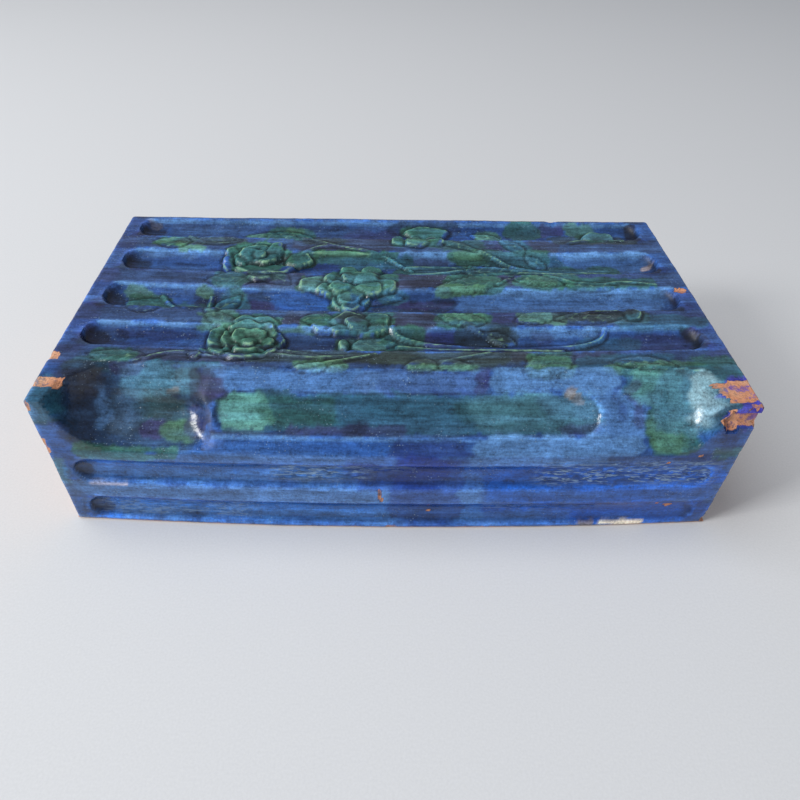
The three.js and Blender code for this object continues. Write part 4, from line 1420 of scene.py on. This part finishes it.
        return Mesh(
            spots=settled.reshape(-1, 3) * MM,
            quads=quads,
            caps=[index[0], index[-1][::-1]],
            tint=whole("tint", Tint.CLAY_STAIN.value).reshape(-1, 3),
            clay=clay.reshape(-1),
            thin=whole("thin", 0.0).reshape(-1),
            grit=whole("grit", 0.0).reshape(-1),
            dull=whole("dull", 0.0).reshape(-1),
        )

    def build(self, finish: GlazeFinish) -> bpy.types.Object:
        """Makes the tile's object, with its attributes and its material.

        Args:
            finish: the glaze and clay to dress it with.

        Returns:
            The finished piece at the origin.
        """
        surface = self.surface()
        mesh = bpy.data.meshes.new("fired_tile")
        corners = np.concatenate([surface.quads.reshape(-1), *surface.caps])
        sizes = np.concatenate([np.full(len(surface.quads), 4), [len(cap) for cap in surface.caps]])
        starts = np.concatenate([[0], np.cumsum(sizes)[:-1]])
        mesh.vertices.add(len(surface.spots))
        mesh.vertices.foreach_set("co", surface.spots.astype(np.float32).reshape(-1))
        mesh.loops.add(len(corners))
        mesh.loops.foreach_set("vertex_index", corners.astype(np.int32))
        mesh.polygons.add(len(sizes))
        mesh.polygons.foreach_set("loop_start", starts.astype(np.int32))
        mesh.polygons.foreach_set("loop_total", sizes.astype(np.int32))
        mesh.update(calc_edges=True)
        mesh.validate()
        tint = mesh.attributes.new("tint", "FLOAT_COLOR", "POINT")
        colours = np.concatenate([surface.tint, np.ones((len(surface.tint), 1))], axis=1)
        tint.data.foreach_set("color", colours.astype(np.float32).reshape(-1))
        for name in ("clay", "thin", "grit", "dull"):
            mask = mesh.attributes.new(name, "FLOAT", "POINT")
            mask.data.foreach_set("value", getattr(surface, name).astype(np.float32))
        mesh.shade_smooth()
        mesh.set_sharp_from_angle(angle=np.radians(self.SHARP_DEGREES))
        mesh.materials.append(finish.material())
        return placed("fired_tile", mesh)


class Nodes:
    """A small helper that adds and links the nodes of one material."""

    def __init__(self, material: bpy.types.Material) -> None:
        """Clears the material's tree."""
        material.use_nodes = True
        self.tree = material.node_tree
        self.tree.nodes.clear()

    def add(
        self, kind: str, inputs: dict[str | int, Input] | None = None, **settings: object
    ) -> bpy.types.Node:
        """Adds a node, sets its own settings, and fills or links its inputs.

        Args:
            kind: the node's type name.
            inputs: value or output socket for each input, by name or number.
            settings: attributes of the node itself.

        Returns:
            The new node.
        """
        node = self.tree.nodes.new(kind)
        for name, value in settings.items():
            setattr(node, name, value)
        for name, value in (inputs or {}).items():
            if isinstance(value, Socket):
                self.tree.links.new(value, node.inputs[name])
            else:
                node.inputs[name].default_value = value
        return node

    def math(self, operation: str, a: Input, b: Input = 0.0, c: Input = 0.0) -> Socket:
        """The result of a Math node."""
        return self.add("ShaderNodeMath", {0: a, 1: b, 2: c}, operation=operation).outputs[0]

    def times(self, a: Input, b: Input) -> Socket:
        """a times b."""
        return self.math("MULTIPLY", a, b)

    def times_plus(self, a: Input, b: Input, c: Input) -> Socket:
        """a times b, plus c."""
        return self.math("MULTIPLY_ADD", a, b, c)

    def mix(self, share: Input, a: Input, b: Input, blend: str = "MIX") -> Socket:
        """The result of a colour mix, from a at share 0 to b at share 1."""
        inputs = {0: share, 6: a, 7: b}
        return self.add("ShaderNodeMix", inputs, data_type="RGBA", blend_type=blend).outputs[2]

    def ramp(self, value: Socket, low: float, high: float) -> Socket:
        """A smooth step of value from 0 at low to 1 at high."""
        inputs = {"Value": value, "From Min": low, "From Max": high}
        return self.add("ShaderNodeMapRange", inputs, interpolation_type="SMOOTHSTEP").outputs[0]

    def noise(self, place: Socket, scale: float, detail: float = 3.0, rough: float = 0.55) -> Socket:
        """A noise pattern, about 0 to 1."""
        inputs = {"Vector": place, "Scale": scale, "Detail": detail, "Roughness": rough}
        return self.add("ShaderNodeTexNoise", inputs).outputs[0]

    def tint(self) -> Socket:
        """The mesh's own colours."""
        return self.add("ShaderNodeAttribute", attribute_name="tint").outputs["Color"]

    def mask(self, name: str) -> Socket:
        """One of the mesh's own masks, 0 to 1."""
        return self.add("ShaderNodeAttribute", attribute_name=name).outputs["Fac"]

    def cells(self, place: Socket, scale: float) -> Socket:
        """Distance from the middle of the nearest of many scattered cells."""
        return self.add("ShaderNodeTexVoronoi", {"Vector": place, "Scale": scale}).outputs["Distance"]


@dataclass(frozen=True)
class GlazeFinish:
    """Coloured lead glaze over terracotta: streaked, thin on ridges, speckled, bare where it is chipped."""

    clay: tuple[float, float, float] = linear(212, 146, 110)
    clay_pale: tuple[float, float, float] = linear(230, 196, 164)
    clay_dark: tuple[float, float, float] = linear(122, 92, 78)
    thin_glaze: tuple[float, float, float] = linear(140, 186, 148)
    pale_glaze: tuple[float, float, float] = linear(140, 166, 186)

    def material(self) -> bpy.types.Material:
        """Builds the material from Object coordinates and the mesh's tint, clay, thin, grit and dull."""
        material = bpy.data.materials.new("glazed_earthenware")
        n = Nodes(material)
        place = n.add("ShaderNodeTexCoord").outputs["Object"]
        along = n.add("ShaderNodeMapping", {"Vector": place, "Scale": (0.12, 1.0, 1.0)}).outputs[0]
        glaze = self.glaze_colour(n, place, along)
        bare = self.bare_share(n, place)
        clay = self.clay_colour(n, place)
        inputs = {
            "Base Color": n.mix(bare, glaze, clay),
            "Roughness": self.roughness(n, place, bare),
            "Normal": self.bumps(n, place, along, bare),
            "IOR": 1.52,
            "Specular IOR Level": 0.5,
        }
        shader = n.add("ShaderNodeBsdfPrincipled", inputs)
        n.add("ShaderNodeOutputMaterial", {"Surface": shader.outputs[0]})
        return material

    def glaze_colour(self, n: Nodes, place: Socket, along: Socket) -> Socket:
        """The brushed tints with streaks, cloudiness, thin ridges, crawled glaze and pale dust specks."""
        tint = n.tint()
        streaks = n.noise(along, 520.0, 5.0, 0.7)
        cloud = n.noise(place, 110.0, 6.0, 0.72)
        grain = n.noise(place, 620.0, 4.0, 0.75)
        patterns = n.math("ADD", n.math("ADD", streaks, cloud), grain)
        shade = n.times_plus(patterns, 2.4, -2.6)
        streaked = n.mix(0.8, tint, n.mix(1.0, tint, shade, "MULTIPLY"))
        worn = n.ramp(n.times(n.mask("thin"), n.noise(place, 190.0)), 0.1, 0.42)
        thin = n.mix(n.times(worn, 0.85), streaked, (*self.thin_glaze, 1.0))
        crawl = n.math("ABSOLUTE", n.math("SUBTRACT", n.noise(along, 330.0, 3.0, 0.6), 0.5))
        lines = n.ramp(crawl, 0.035, 0.008)
        crawled = n.times(n.times(lines, n.mask("grit")), 0.75)
        gritty = n.mix(crawled, thin, (*self.pale_glaze, 1.0))
        specks = n.cells(place, 480.0)
        few = n.ramp(n.noise(place, 60.0, 2.0), 0.48, 0.7)
        dust = n.times(n.ramp(specks, 0.24, 0.12), n.times(few, 0.5))
        return n.mix(dust, gritty, (*self.pale_glaze, 1.0))

    def bare_share(self, n: Nodes, place: Socket) -> Socket:
        """Where the clay is bare: the clay mask with a crumbled border."""
        crumb = n.times_plus(n.noise(place, 520.0, 3.0), 0.6, -0.3)
        return n.ramp(n.math("ADD", n.mask("clay"), crumb), 0.42, 0.58)

    def clay_colour(self, n: Nodes, place: Socket) -> Socket:
        """Terracotta from pale slip to dark, with grains and smears of the glaze about it."""
        patches = n.noise(place, 40.0, 4.0, 0.6)
        paleness = n.times(n.ramp(patches, 0.42, 0.68), 0.55)
        tone = n.mix(paleness, (*self.clay, 1.0), (*self.clay_pale, 1.0))
        grains = n.ramp(n.noise(place, 700.0, 3.0), 0.5, 0.72)
        grained = n.mix(n.times(grains, 0.6), tone, (*self.clay_dark, 1.0))
        smears = n.ramp(n.noise(place, 170.0, 4.0, 0.7), 0.49, 0.62)
        return n.mix(n.times(smears, 0.7), grained, n.tint())

    def roughness(self, n: Nodes, place: Socket, bare: Socket) -> Socket:
        """Glossy glaze with duller clouds and grit, and dry clay."""
        cloudy = n.times_plus(n.noise(place, 70.0, 3.0), 0.26, 0.1)
        duller = n.times_plus(n.mask("dull"), 0.35, cloudy)
        worn = n.times_plus(n.mask("thin"), 0.1, duller)
        gritty = n.times_plus(n.mask("grit"), 0.12, worn)
        dry = n.times_plus(bare, 0.6, gritty)
        return n.add("ShaderNodeClamp", {"Value": dry, "Min": 0.1, "Max": 0.95}).outputs[0]

    def bumps(self, n: Nodes, place: Socket, along: Socket, bare: Socket) -> Socket:
        """Brush marks, orange peel, crawled blisters, pinholes and grains, as one height in metres."""
        brushed = n.times(n.noise(along, 500.0, 3.0), 0.00018)
        peel = n.times_plus(n.noise(place, 180.0, 3.0, 0.5), 0.0003, brushed)
        holes = n.times_plus(n.ramp(n.cells(place, 260.0), 0.0, 0.18), 0.00018, peel)
        blisters = n.times(n.noise(along, 330.0, 3.0, 0.6), n.mask("grit"))
        glaze = n.times_plus(blisters, 0.0022, holes)
        grains = n.times(n.noise(place, 900.0, 4.0, 0.7), 0.0012)
        height = n.times_plus(bare, grains, glaze)
        return n.add("ShaderNodeBump", {"Height": height, "Strength": 0.85, "Distance": 1.0}).outputs[0]


@dataclass(frozen=True)
class Studio:
    """A pale floor, a large soft light from the left, weaker ones round it, and the camera."""

    form: TileForm
    focal_px: float = 658.02
    picture_px: float = 800.0
    middle_px: tuple[float, float] = (384.12, 399.71)
    camera_spot: tuple[float, float, float] = (-7.753, -272.857, 254.447)
    pitch: float = 42.5956
    yaw: float = -0.5911
    roll: float = 0.9028

    SENSOR_MM = 36.0
    FLOOR_REACH = 6.0
    AIM = Vector((0.0, 0.0, 0.05))

    def camera(self) -> None:
        """Stands the camera where the photograph's outline puts it, measured from the arris's middle."""
        lens = bpy.data.cameras.new("camera")
        lens.sensor_width = self.SENSOR_MM
        lens.lens = self.SENSOR_MM * self.focal_px / self.picture_px
        lens.shift_x = (self.picture_px / 2 - self.middle_px[0]) / self.picture_px
        lens.shift_y = (self.middle_px[1] - self.picture_px / 2) / self.picture_px
        lens.clip_start = 0.01
        pitch, yaw, roll = (np.radians(angle) for angle in (self.pitch, self.yaw, self.roll))
        ahead = Vector((-np.sin(yaw) * np.cos(pitch), np.cos(yaw) * np.cos(pitch), -np.sin(pitch)))
        level = Vector((np.cos(yaw), np.sin(yaw), 0.0))
        up = level.cross(ahead)
        right = np.cos(roll) * level + np.sin(roll) * up
        turned_up = -np.sin(roll) * level + np.cos(roll) * up
        x, y, z = self.camera_spot
        spot = Vector((x - self.form.splay / 2, y - self.form.middle_y, z + self.form.high)) * MM
        camera = placed("camera", lens)
        rows = Matrix((right, turned_up, -ahead)).transposed()
        camera.matrix_world = Matrix.Translation(spot) @ rows.to_4x4()
        bpy.context.scene.camera = camera

    def soft_light(
        self, name: str, spot: tuple[float, float, float], size: float, watts: float, mirrored: bool
    ) -> None:
        """A square soft light that faces the tile.

        Args:
            name: name of the light.
            spot: where it hangs, in metres.
            size: length of its side in metres.
            watts: its power.
            mirrored: whether the glaze shows it as a highlight.
        """
        lamp = bpy.data.lights.new(name, "AREA")
        lamp.shape = "SQUARE"
        lamp.size = size
        lamp.energy = watts
        light = placed(name, lamp)
        light.location = spot
        light.visible_glossy = mirrored
        light.rotation_euler = (self.AIM - Vector(spot)).to_track_quat("-Z", "Y").to_euler()

    def floor(self) -> bpy.types.Object:
        """A pale matt floor, a little uneven in tone."""
        reach = self.FLOOR_REACH
        mesh = bpy.data.meshes.new("floor")
        corners = [(-reach, -reach, 0), (reach, -reach, 0), (reach, reach, 0), (-reach, reach, 0)]
        mesh.from_pydata(corners, [], [(0, 1, 2, 3)])
        material = bpy.data.materials.new("pale_paper")
        n = Nodes(material)
        place = n.add("ShaderNodeTexCoord").outputs["Object"]
        tone = n.mix(n.noise(place, 700.0, 2.0), (0.6, 0.61, 0.62, 1.0), (0.7, 0.71, 0.72, 1.0))
        shader = n.add("ShaderNodeBsdfPrincipled", {"Base Color": tone, "Roughness": 0.9})
        n.add("ShaderNodeOutputMaterial", {"Surface": shader.outputs[0]})
        mesh.materials.append(material)
        return placed("floor", mesh)

    def world(self) -> None:
        """An even pale surround."""
        world = bpy.data.worlds.new("surround")
        world.use_nodes = True
        background = world.node_tree.nodes["Background"]
        background.inputs["Color"].default_value = (0.86, 0.9, 1.0, 1.0)
        background.inputs["Strength"].default_value = 0.3
        bpy.context.scene.world = world

    def build(self) -> None:
        """Sets up the floor, the lights, the surround and the camera."""
        self.camera()
        self.floor()
        self.soft_light("left_light", (-2.7, -1.1, 1.9), 0.9, 68.0, True)
        self.soft_light("top_light", (-1.5, 0.1, 2.9), 2.4, 57.0, False)
        self.soft_light("front_light", (0.5, -2.6, 1.5), 1.4, 12.0, False)
        self.world()
        bpy.context.scene.view_settings.view_transform = "Standard"


def main() -> None:
    """Builds the tile around its CAD node, then the studio."""
    logging.basicConfig(level=logging.INFO, format="%(name)s: %(message)s")
    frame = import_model()
    log.info("frame: %d node(s)", len(frame["nodes"]))
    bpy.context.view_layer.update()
    form = TileForm.of_frame()
    piece = Tile(form).build(GlazeFinish())
    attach(piece, "root")
    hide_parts(NODE)
    log.info("%s: %d points, %d faces", piece.name, len(piece.data.vertices), len(piece.data.polygons))
    Studio(form).build()


if __name__ == "__main__":
    main()
